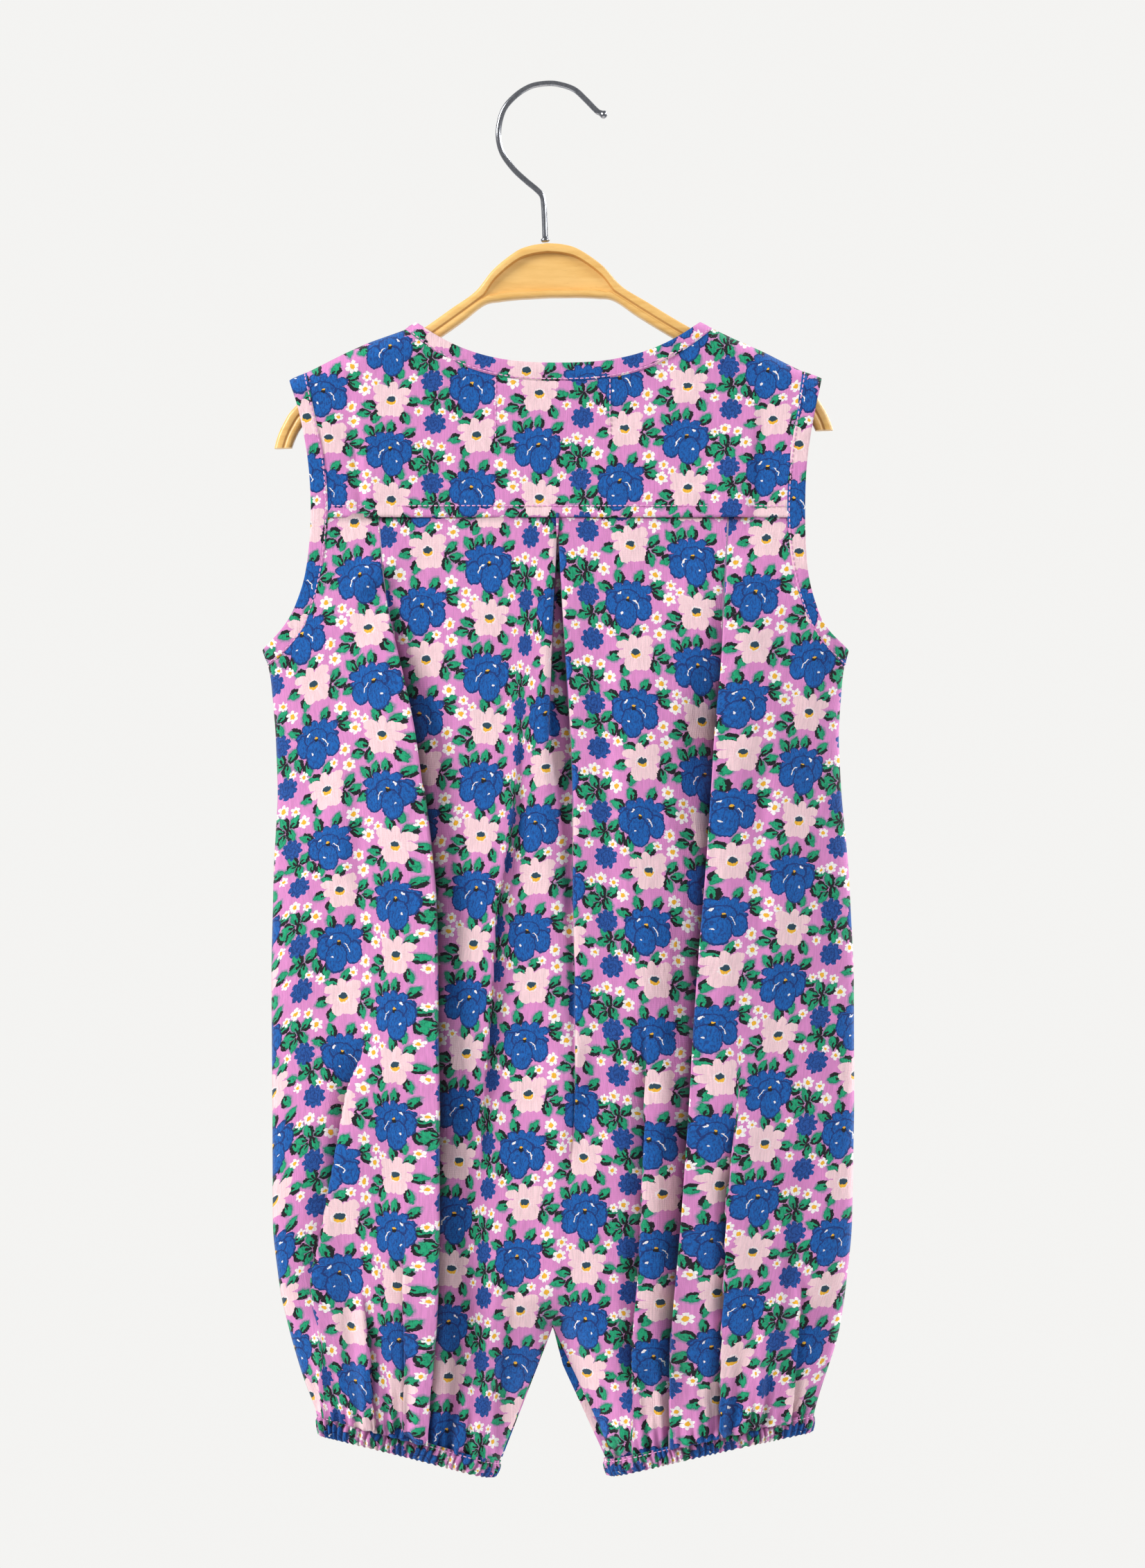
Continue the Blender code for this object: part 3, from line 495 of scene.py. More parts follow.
def creases(x, z):
    """Height of the smaller creases, how far they push the cloth to the right and how much
    painted shade darkens the colour at their feet."""
    total, reach, dim = np.zeros((3,) + x.shape)
    for way, height, wide, low_wide, fade_in, fade_out, line in CREASES:
        away, along = line_distance(x, z, line)
        turn = 1 if way == "left" else -1
        away = turn * away
        ends = height * ramp(along, 0, fade_in) * ramp(along, 1, -fade_out)
        crisp = height > 3
        total += ends * ledge(away, wide, low_wide, 2.4 if crisp else 9, 0.5)
        if crisp:
            reach += 0.5 * turn * ends * overhang(away)
            # Painted shade at the foot of a crisp crease.
            share = 0.6 * np.clip(ends / 4.5, 0, 1)
            dim = np.maximum(dim, share * shaded(away, 1.4 + 0.4 * ends, 2))
    return total, reach, dim


def hem_height(x, right):
    top = RIGHT_CUFF_TOP if right else LEFT_CUFF_TOP
    t = np.clip((x - top[0]) / (top[2] - top[0]), 0, 1)
    return top[1] + (top[3] - top[1]) * (0.5 * t + 0.5 * t ** 1.3)


def gathers(x, z, seed):
    """Small folds that run up from the leg casings, each of its own length."""
    total = np.zeros(x.shape)
    for number, (outer, _, inner, _) in enumerate((LEFT_CUFF_TOP, RIGHT_CUFF_TOP)):
        rise = np.maximum(z - hem_height(x, number), 0)
        middle = 0.5 * (outer + inner)
        inside = (x - CROTCH_X) * (middle - CROTCH_X) > 0
        half = 1.6 + 0.04 * rise
        count = int(abs(inner - outer) / 5)
        for k in range(count):
            first = math.sin((k + 1) * 12.9898 + seed * 78.233 + number * 37.7) * 43758.5
            second = math.sin((k + 1) * 39.346 + seed * 11.13 + number * 91.1) * 24634.6
            first, second = first - math.floor(first), second - math.floor(second)
            at = outer + (inner - outer) * (k + 0.5 + 0.7 * (first - 0.5)) / count
            fan = at + ((at - middle) * 0.0022 + (first - 0.5) * 0.1) * rise
            bump = bell(x, fan, half) - 0.5 * bell(x, fan + 1.9 * half, 1.2 * half)
            fade = np.exp(-(rise / (16 + 54 * second ** 1.5)) ** 1.4)
            total += inside * (2.2 + 2.3 * first) * fade * bump
    return total


def spans(anchors, counts, powers):
    """Columns between anchor columns; anchors is a list of arrays over the rows."""
    columns = []
    for near, far, count, power in zip(anchors, anchors[1:], counts, powers):
        f = np.arange(count) / count
        f = f ** power if power >= 1 else 1 - (1 - f) ** (1 / power)
        columns.append(near[:, None] + (far - near)[:, None] * f)
    return np.concatenate(columns + [anchors[-1][:, None]], axis=1)


def panel_rows(above, below):
    """Heights of a panel's rows, and how far down the leg each row lies."""
    share = np.linspace(0, 1, below + 1)[1:]
    rows = np.append(np.linspace(YOKE_SEAM_Z + 2, CROTCH_Z, above),
                     CROTCH_Z + (FLAT_HEM_Z - CROTCH_Z) * share)
    return rows, np.append(np.zeros(above), share)[:, None]


def fit_panel(block, rows, down, right, front):
    """Ease the leg rows of half a panel to the hem and into the casing's section."""
    outer = OUT_RIGHT if right else OUT_LEFT
    flat = np.repeat(rows[:, None], block.shape[1], axis=1)
    edge = leg_edge(flat, right)
    share = (block - edge) / (outer(-flat) - edge)
    x, z = block, flat
    for _ in range(3):
        hem = hem_height(x, right) - HEM_TUCK
        z = np.where(down > 0, CROTCH_Z + (hem - CROTCH_Z) * down, z)
        edge = leg_edge(z, right)
        x = np.where(down > 0, edge + (outer(-z) - edge) * share, block)
    hem = hem_height(x, right)
    inner = (RIGHT_CUFF_TOP if right else LEFT_CUFF_TOP)[2]
    share = np.clip((x - edge) / (outer(-z) - edge), 0, 1)
    casing = np.maximum(cuff_depth(inner + (outer(-z) - inner) * share, inner), 0.7)
    y = depth(x, z, front)
    y = y + (casing - y) * ramp(z, hem + CASING_BLEND, -CASING_BLEND)
    base = places(x, y if front else -y, z)
    out_way = -normals(base) if front else normals(base)
    rim = np.clip(np.abs(x - outer(-z)) / 9, 0, 1)
    steady = np.where(z > ARMHOLE_FOOT_Z, 1, rim) * (0.15 + 0.85 * closing(x, z))
    return x, z, hem, base, out_way, rim, steady


def joined(name, halves, above, flip=False):
    """Panel of two halves, joined down the middle as far as the crotch."""
    left, right = halves[0][0], halves[1][0]
    left[:above, -1] = right[:above, 0] = 0.5 * (left[:above, -1] + right[:above, 0])
    faces = grid_faces(*left.shape[:2], flip=flip)
    faces += grid_faces(*right.shape[:2], flip=flip, start=left[:, :, 0].size)
    place = np.concatenate([half[0].reshape(-1, 3) for half in halves])
    u, v, *deep = (np.concatenate([half[i].ravel() for half in halves])
                   for i in range(1, len(halves[0])))
    return cloth(name, place, (u, v), join=True, deep=deep[0] if deep else None, faces=faces)


def back_panel():
    rows, down = panel_rows(160, 34)
    legs = rows < CROTCH_Z + 1e-6
    crest_l, crest_r = LINE_LEFT(-rows), LINE_RIGHT(-rows)
    edge_l, edge_r = leg_edge(rows, False), leg_edge(rows, True)
    pleat_l, pleat_r = PLEAT_LEFT(-rows), PLEAT_RIGHT(-rows)
    mid = 0.5 * (pleat_l + pleat_r)
    mid = CROTCH_X + (mid - CROTCH_X) * ramp(rows, CROTCH_Z, 50)
    beside = 2 + 0.02 * (CROTCH_Z - rows)
    pleat_l = np.where(legs, edge_l - beside, pleat_l)
    pleat_r = np.where(legs, edge_r + beside, pleat_r)
    anchors_l = (side(rows, False), crest_l - 1.2, crest_l + 1.8, crest_l + 4.2, pleat_l,
                 pleat_l + 0.7, np.where(legs, edge_l, mid))
    anchors_r = (np.where(legs, edge_r, mid), pleat_r - 0.7, pleat_r, crest_r - 4.2,
                 crest_r - 1.8, crest_r + 1.2, side(rows, True))
    halves = []
    for is_right, anchors, counts, powers in (
            (False, anchors_l, (62, 5, 3, 45, 2, 4), (0.85, 1, 1, 1, 1, 1)),
            (True, anchors_r, (4, 2, 45, 3, 5, 62), (1, 1, 1, 1, 1, 1.18))):
        zone = np.append(np.repeat(np.arange(6), counts), 5)[None, :]
        block = spans(anchors, counts, powers)
        x, z, hem, base, out_way, rim, steady = fit_panel(block, rows, down, is_right, False)
        # The long fold of this half.
        turn = -1 if is_right else 1
        away = turn * (x - (LINE_RIGHT if is_right else LINE_LEFT)(-z))
        share = ramp(z, -222, -110) * (1 - 0.42 * ramp(z, -600, -75))
        share = share * (0.94 + 0.06 * np.sin(z / 17 + (2 if is_right else 0)))
        fold = FOLD_HEIGHT * share * ledge(away, 30, 24, 2.2, 0.62)
        lean = 0.42 * FOLD_HEIGHT * share * turn * overhang(away)
        # The centre pleat.
        pleat_l, pleat_r, dip = PLEAT_LEFT(-z), PLEAT_RIGHT(-z), PLEAT_DEEP(-z)
        from_left = ramp(x, pleat_l - 0.1, 1.1 + 8 * ramp(z, -315, -70))
        pleat = dip * (0.22 * bell(x, pleat_r + 1, 9) * (x > pleat_r)
                       + 0.16 * bell(x, pleat_l - 1, 9) * (x < pleat_l)
                       - from_left * ramp(x, pleat_r + 0.1, -0.8))
        gap = np.clip(dip / 7, 0, 1) * (x > pleat_l) * (x < pleat_r)
        # Smaller creases, gathers and unevenness, with painted shade at their feet.
        small, reach, dim = creases(x, z)
        ruffle = gathers(x, z, 1.0)
        lean = lean + reach * closing(x, z) * rim
        # Painted shade: darker colour in gather valleys, at the foot of the long fold, in the
        # pleat's gap and just under the yoke seam.
        dim = np.maximum.reduce([
            dim, 0.5 * np.clip(-0.7 * ruffle, 0, 1),
            0.72 * share * shaded(away, 5.2 * share + 1, 2.6),
            0.8 * gap * np.exp(-(pleat_r - x) / 3),
            0.55 * np.exp(-np.maximum(YOKE_SEAM_Z - z, 0) / 1.3)])
        wave = (rough(x, z, 26.0, 1.7, 2.2) + 0.42 * rough(x, z, 9.0, 5.1, 1.8)
                + 0.13 * rough(x, z, 3.6, 9.3, 1.4))
        below = ramp(z, YOKE_SEAM_Z, -22)
        out = fold + (small + ruffle) * below + wave * (0.25 + 0.75 * below)
        out = out * steady + pleat - 0.75 * ramp(z, YOKE_SEAM_Z - 2.5, 3)
        out = out - 0.45 * ramp(z, hem, 1) * (z < hem + 0.5)
        edge_in = np.clip(np.abs(x - side(z, is_right)) / 2.2, 0, 1)
        out = out - 0.5 * (1 - edge_in) * (z > -290)
        place = base + out_way * out[:, :, None]
        place[:, :, 0] += lean
        place[:, :, 1] = np.minimum(place[:, :, 1], -0.05)
        halves.append((place, *back_print(x, z, zone, is_right), dim))
    return joined("cloth_back_panel", halves, 160)


def front_panel():
    rows, down = panel_rows(124, 27)
    mid = 5.4 + (CROTCH_X - 5.4) * ramp(rows, YOKE_SEAM_Z, -404)
    halves = []
    for is_right in (False, True):
        inner = np.where(rows < CROTCH_Z, leg_edge(rows, is_right), mid)
        near, far = (inner, side(rows, True)) if is_right else (side(rows, False), inner)
        even = np.linspace(0, 1, 67)
        even = 1 - (1 - even) ** 1.25 if is_right else even ** 1.25
        block = near[:, None] + (far - near)[:, None] * even
        x, z, hem, base, out_way, _, steady = fit_panel(block, rows, down, is_right, True)
        out = gathers(x, z, 7.0) + 0.8 * rough(x, z, 34.0, 3.9, 2.6)
        out += 0.35 * rough(x, z, 11.0, 8.8, 1.8) + 0.1 * rough(x, z, 3.8, 2.5)
        for at, tall, wide in ((-78, 4, 18), (-30, 2, 13), (46, 2.2, 14), (94, 4, 19)):
            turn = 1 if at < 0 else -1
            rise = ramp(z, -240, -150) * (1 - 0.6 * ramp(z, -600, -60))
            away = turn * (x - at) + 0.03 * (z + 450)
            out += tall * rise * ledge(away, wide, wide, 6, 0.4)
        placket = bell(np.maximum(np.abs(x - BUTTON_X) - 12, 0), 0, 6)
        out *= steady * (1 - placket * (z > -300) * 0.9)
        out = out - 0.75 * ramp(z, YOKE_SEAM_Z - 2.5, 3) - 0.45 * (z < hem + 0.5)
        place = base + out_way * out[:, :, None]
        place[:, :, 1] = np.maximum(place[:, :, 1], 0.05)
        halves.append((place, x + 19, z + 9))
    return joined("cloth_front_panel", halves, 124, flip=True)


def top_line(front, shoulder, across):
    """Upper edge of the cloth from the left armhole over the neck to the right."""
    centre, half, low, rise, power = NECK_FRONT_LOW if front else NECK_BACK_LOW
    t = np.sin(np.pi * np.linspace(-0.5, 0.5, across + 1))
    xs = np.concatenate([
        np.linspace(ARMHOLE_LEFT[0, 3] - TUCK, centre - half, shoulder + 1)[:-1],
        centre + half * t,
        np.linspace(centre + half, ARMHOLE_RIGHT[0, 3] + TUCK, shoulder + 1)[1:]])
    zs = RIDGE_LINE(xs)
    neck = low + rise * np.abs(t) ** power + TUCK * (1 - np.abs(t) ** 6)
    zs[shoulder:-shoulder] = np.minimum(neck, zs[shoulder:-shoulder])
    return xs, zs


def chest_grid(front, shoulder, across, rows):
    """Grid of x and z from the shoulders and neck down to the yoke seam."""
    top_x, top_z = top_line(front, shoulder, across)
    v = np.append(0.11 * (1 - np.cos(np.linspace(0, 0.5 * np.pi, 12))),
                  np.linspace(0.11, 1, rows - 11)[1:])
    sides = []
    for table, tuck, end in ((ARMHOLE_LEFT, -TUCK, 0), (ARMHOLE_RIGHT, TUCK, -1)):
        line = curve(table, v * 3)
        z = line[:, 2]
        z = z[0] + (z - z[0]) * (YOKE_SEAM_Z - z[0]) / (z[-1] - z[0])
        z[0] = top_z[end]
        sides.append((line[:, 3] + tuck, z))
    (left_x, left_z), (right_x, right_z) = sides
    u = (top_x - top_x[0]) / (top_x[-1] - top_x[0])
    foot_x = left_x[-1] + (right_x[-1] - left_x[-1]) * u
    v = v[:, None]
    for top, foot, left, right in ((top_x, foot_x, left_x, right_x),
                                   (top_z, YOKE_SEAM_Z, left_z, right_z)):
        left, right = (line[:, None] - (1 - v) * line[0] - v * line[-1]
                       for line in (left, right))
        yield (1 - v) * top + v * foot + (1 - u) * left + u * right


def yoke(name, front, grid, relief):
    """Yoke with its own relief, thin at the shoulders and rolled at the seam."""
    x, z = chest_grid(front, *grid)
    y = depth(x, z, front)
    base = places(x, y if front else -y, z)
    out_way = -normals(base) if front else normals(base)
    out, uv = relief(x, z)
    out = out * np.clip((RIDGE_LINE(x) - z) / 12, 0.15, 1)
    out += 0.1 + 0.25 * ramp(z, YOKE_SEAM_Z + 6, -6)
    out -= 0.25 * ramp(z, YOKE_SEAM_Z + 0.7, -0.7)
    return cloth(name, base + out_way * out[:, :, None], uv, flip=front)


def back_relief(x, z):
    stitch = YOKE_SEAM_Z + TOPSTITCH_RISE
    out = 0.4 * rough(x, z, 24.0, 2.2, 1.4) + 0.2 * rough(x, z, 8.0, 7.7)
    out += 0.08 * rough(x, z, 3.4, 3.3)
    out += bell(z, stitch, 5.5) * 0.28 * rough(x, z, 5.5, 4.4, 2.5)
    out -= 0.3 * bell(z, stitch, 0.9)
    for line, turn, tall, shape in (
            (((-96, -150), (-94.2, -162), (-91, -190), (-88.3, -217.7)), -1, 2.3,
             (14, 10, 4, 0.5)),
            (((104, -150), (102, -180), (98, -217)), 1, 1.7, (16, 12, 4.5, 0.4))):
        away, along = line_distance(x, z, line)
        out += tall * ramp(along, 0, 0.4) * ledge(turn * away, *shape)
    v = z + 168.1 - 0.0004 * (x + 56) ** 2
    high = 1.2 + 5.5 * np.clip(np.abs(x - 5) / 115, 0, 1) ** 2
    return out, (x + 56, v + high * ramp(z, -205, 60))


def front_relief(x, z):
    out = 0.45 * rough(x, z, 24.0, 6.2, 1.4) + 0.2 * rough(x, z, 8.0, 1.7)
    out *= np.clip((np.abs(x - BUTTON_X) - 12) / 6, 0.1, 1)
    return out, (x + 19, z + 9)


def band_piece(name, rings, start, bulge, seed):
    """Closed strip between an outer and an inner ring of x and z."""
    outer, inner, fronts = rings
    v = np.linspace(0, 1, 10)[:, None]
    x, z = (outer[:, i] * (1 - v) + inner[:, i] * v for i in (0, 1))
    base = places(x, np.where(fronts, depth(x, z, True), -depth(x, z, False)), z)
    out_way, flip = outward(base)
    s = lengths_along(closed(base.mean(axis=0)[None])[0])[:-1]
    edge = np.sin(np.pi * v) ** 0.5
    out = 0.3 + bulge * edge + 0.16 * edge * rough(s, v * 9, 5.0, seed)
    out = out + 0.08 * rough(s, v * 9, 2.2, seed + 3)
    place = closed(base + out_way * out[:, :, None])
    x, y, z = np.moveaxis(place, 2, 0)
    uv = (x + start[0] + np.where(y > 0, 41, 0), z + start[1])
    item = cloth(name, place, uv, flip=flip, join=True, wall=0.9)
    finish_piece(item, COTTON)
    row = place[8], closed(outward(place[:, :-1])[0])[8]
    return row[0] + row[1] * 0.1, row[1]


def neck_ring(count):
    t = np.sin(np.pi * (np.linspace(0, 1, count, endpoint=False) - 0.5))
    rings = []
    for back, front in ((NECK_BACK_TOP, NECK_FRONT_TOP), (NECK_BACK_LOW, NECK_FRONT_LOW)):
        rings.append(np.concatenate([
            np.stack([centre + half * x, low + rise * np.abs(x) ** power], axis=1)
            for (centre, half, low, rise, power), x in ((back, t), (front, -t))]))
    return *rings, np.arange(2 * count) >= count


def armhole_ring(table, count):
    t = 7 * (0.5 - 0.5 * np.cos(np.pi * np.linspace(0, 1, count))) ** 0.92
    rows = curve(table, t)
    rows = np.concatenate([rows, rows[-2:0:-1]])
    return rows[:, [1, 0]], rows[:, [3, 2]], np.arange(len(rows)) >= count


def cuff(name, top, low, seed):
    """Gathered leg casing between its upper and lower edge; gives its stitch line."""
    fine = 400
    w = 0.5 - 0.5 * np.cos(np.pi * np.arange(fine) / fine)
    w = np.concatenate([w, 1 - w])
    y = np.repeat((-1, 1), fine) * cuff_depth(top[0] + (top[2] - top[0]) * w, top[2])
    edges = []
    for edge, share in ((top, 1), (low, 0.97)):
        edges.append(closed(places(
            edge[0] + (edge[2] - edge[0]) * w, y * share,
            edge[1] + (edge[3] - edge[1]) * (0.5 * w + 0.5 * w ** 1.3))[None])[0])
    at = lengths_along(edges[0])
    s = np.linspace(0, at[-1], 561)
    upper, under = (along_path(edge, at, s[:-1]) for edge in edges)
    v = np.linspace(-0.04, 1, 14)[:, None]
    base = upper * (1 - v[:, :, None]) + under * v[:, :, None]
    out_way, flip = outward(base)
    drift = 1.6 * rough(s[:-1], v * 6, 13.0, seed) + 0.9 * (v - 0.5)
    wave = np.sin(2 * np.pi * (s[:-1] + drift) / GATHER_PITCH)
    wave = np.sign(wave) * np.abs(wave) ** 0.75
    height = 0.92 + 0.42 * rough(s[:-1], v * 3, 5.0, seed + 9)
    height = height * (1 - 0.6 * bell(v, 0.1, 0.07)) * (0.7 + 0.35 * ramp(v, 0.8, 0.2))
    body = 1.15 * np.clip(np.sin(np.pi * np.clip(v, 0, 1)), 0, 1) ** 0.6
    out = body - 0.55 * bell(v, 0.1, 0.06) + wave * height
    place = base + out_way * out[:, :, None]
    place[-1, :, 2] += 0.5 * wave[-1]
    place, out_way = closed(place), closed(out_way)
    uv = np.broadcast_arrays(s * 1.55, -v * 11)
    # Painted shade: the colour is darkened in the valleys between the gathers.
    item = cloth(name, place, uv, flip=flip, join=True, wall=0.8,
                 deep=closed(0.62 * np.clip(-1.1 * wave, 0, 1)))
    finish_piece(item, COTTON_CUFF)
    return place[2] + out_way[2] * 0.15, out_way[2]


def unit(way):
    return way / max(np.linalg.norm(way), 1e-9)


def stitches(name, paths, pitch, length):
    """Small rounded stitches laid end to end along each path."""
    points, faces = [], []
    sides = 6
    turns = [2 * math.pi * k / sides for k in range(sides)]
    profile = ((-0.5, 0.25), (-0.36, 0.9), (0.0, 1.0), (0.36, 0.9), (0.5, 0.25))
    for path, lift_way in paths:
        at = lengths_along(path)
        count = max(1, int(at[-1] / pitch))
        for k in range(count):
            middle = (k + 0.5) * at[-1] / count
            ends = np.clip((middle - 0.5 * length, middle + 0.5 * length), 0, at[-1])
            first, last = along_path(path, at, ends)
            up = unit(along_path(lift_way, at, middle))
            across = unit(np.cross(last - first, up))
            faces += tube_faces(len(profile), sides, True, len(points))
            for share, thin in profile:
                ring = 0.5 * (first + last) + (last - first) * share
                ring = ring + up * STITCH_RADIUS * (0.6 - 0.9 * abs(share))
                points += [ring + STITCH_RADIUS * thin * (
                    across * math.cos(a) + up * math.sin(a) * 0.8) for a in turns]
    return add_mesh(name, points, faces)


def colour(*display):
    """Linear colour from display values of 0 to 255."""
    shares = [value / 255 for value in display]
    return (*(c / 12.92 if c <= 0.04045 else ((c + 0.055) / 1.055) ** 2.4
              for c in shares), 1.0)


class Graph:
    """Short calls that add shader nodes and link them."""

    def __init__(self, tree):
        self.tree = tree

    def put(self, item, inputs):
        for key, value in inputs.items():
            if isinstance(value, bpy.types.NodeSocket):
                self.tree.links.new(value, item.inputs[key])
            else:
                item.inputs[key].default_value = value
        return item

    def node(self, kind, inputs, **settings):
        item = self.tree.nodes.new("ShaderNode" + kind)
        for key, value in settings.items():
            setattr(item, key, value)
        return self.put(item, inputs).outputs

    def math(self, operation, *values):
        return self.node("Math", dict(enumerate(values)), operation=operation)[0]

    def vector(self, operation, *values):
        outputs = self.node("VectorMath", dict(enumerate(values)), operation=operation)
        return outputs["Value" if operation == "LENGTH" else "Vector"]

    def mix(self, kind, factor, a, b, **settings):
        first = {"FLOAT": 2, "VECTOR": 4, "RGBA": 6}[kind]
        outputs = self.node("Mix", {}, data_type=kind, **settings)
        self.put(outputs[0].node, {0: factor, first: a, first + 1: b})
        return outputs[first // 2 - 1]

    def between(self, value, low, high):
        return self.node("MapRange", {"Value": value, "From Min": low, "From Max": high},
                         interpolation_type="SMOOTHSTEP")["Result"]

    def noise(self, vector, stretch, scale=1.0, detail=2.0, roughness=0.5):
        if stretch:
            vector = self.vector("MULTIPLY", vector, stretch)
        return self.node("TexNoise", {"Vector": vector, "Scale": scale, "Detail": detail,
                                      "Roughness": roughness})["Fac"]

    def turned(self, vector, angle):
        return self.node("VectorRotate", {"Vector": vector, "Angle": angle},
                         rotation_type="Z_AXIS")[0]

    def pick(self, place, centres):
        """Offset from the nearest of the repeated centres, and its length."""
        best = near = None
        half = (TILE[0] / 2, TILE[1] / 2, 500.0)
        for x, y, extra in centres:
            off = self.vector("SUBTRACT", place, (x, y, -0.001 * extra))
            off = self.vector("WRAP", off, half, [-value for value in half])
            size = self.vector("LENGTH", off)
            if best:
                best = self.mix("VECTOR", self.math("LESS_THAN", size, near), best, off)
                size = self.math("MINIMUM", near, size)
            best, near = best or off, size
        return best, near

    def split(self, vector):
        return self.node("SeparateXYZ", {0: vector})

    def lobes(self, angle, count, turn, power):
        wave = self.math("SINE", self.math("MULTIPLY_ADD", angle, count * 0.5, turn))
        return self.math("POWER", self.math("ABSOLUTE", wave), power)


# Print, in millimetres of one repeat: x, y, and a third number that turns a leaf in
# degrees, gives a daisy's radius in hundredths, or mirrors another flower (0 or 1000).
BIG_BLUE = ((51.8, -13.4, 0), (18.4, -34.3, 1000))
SMALL_BLUE = ((0, 0, 0), (-1.2, -31.5, 1000))
PINK = ((21, -6.6, 0), (52.4, -40, 1000))
DAISIES = ((26, 5.2, 230), (33.5, 2.4, 330), (32.6, 10.9, 265), (-3.1, -10.4, 300),
           (3.3, -12.4, 250), (-8, -11.6, 220), (7.3, -19, 320), (32.8, -22.3, 325),
           (39.2, -34.1, 330), (44.6, -30.9, 240), (32.3, -43.6, 280), (66, 6.9, 235),
           (63.4, -29.7, 235), (3.8, 6.2, 210), (9.4, 3.1, 250), (40.3, -27.4, 255))
LEAVES = ((41.4, -3.4, 125), (51.9, -1.6, 84), (61.2, -4.4, 38), (39, -14.8, 200),
          (65, -13.5, 5), (64.3, -22.2, -52), (46.4, -2.2, 70), (56.8, -26.6, -80),
          (50.7, -30, 105), (59.6, -32.6, 34), (38.8, -47.4, 185), (44.8, -49.4, -108),
          (41.4, -43, 160), (59.6, -50.4, -68), (63.4, -41.5, 0),
          (14.4, -23, 100), (24.4, -23.2, 58), (7.4, -28, 155), (33.4, -26.8, 20),
          (34.5, -31.5, -20), (12.2, -47.7, -80), (7.1, -44, 100),
          (15.4, -0.3, 160), (22, 3.7, 55), (10.4, -8.8, 190), (15.6, -15.2, 250),
          (32.6, -5.2, 48), (35, -9.8, 12), (30.9, -14, -78),
          (-7.2, -20, 165), (-3.6, -16.6, 110), (2.2, -17.2, 45), (-0.2, -23.4, -70),
          (-5.8, -25, 235),
          (-3.6, -41.8, 195), (1, -44.8, -92), (4.6, -38.2, 45), (-2.2, -38, 125))

GROUND = colour(224, 143, 203)
HALO = colour(112, 134, 150)
LEAF = colour(36, 168, 120)
LEAF_DEEP = colour(22, 132, 98)
STROKE = colour(30, 30, 36)
BLUE = colour(26, 102, 184)
BLUE_DEEP = colour(28, 58, 122)
BUD = colour(38, 88, 166)
PALE = colour(250, 214, 220)
PALE_DEEP = colour(238, 186, 200)
WHITE = colour(254, 248, 248)
YELLOW = colour(248, 188, 58)
TEAL = colour(44, 74, 92)


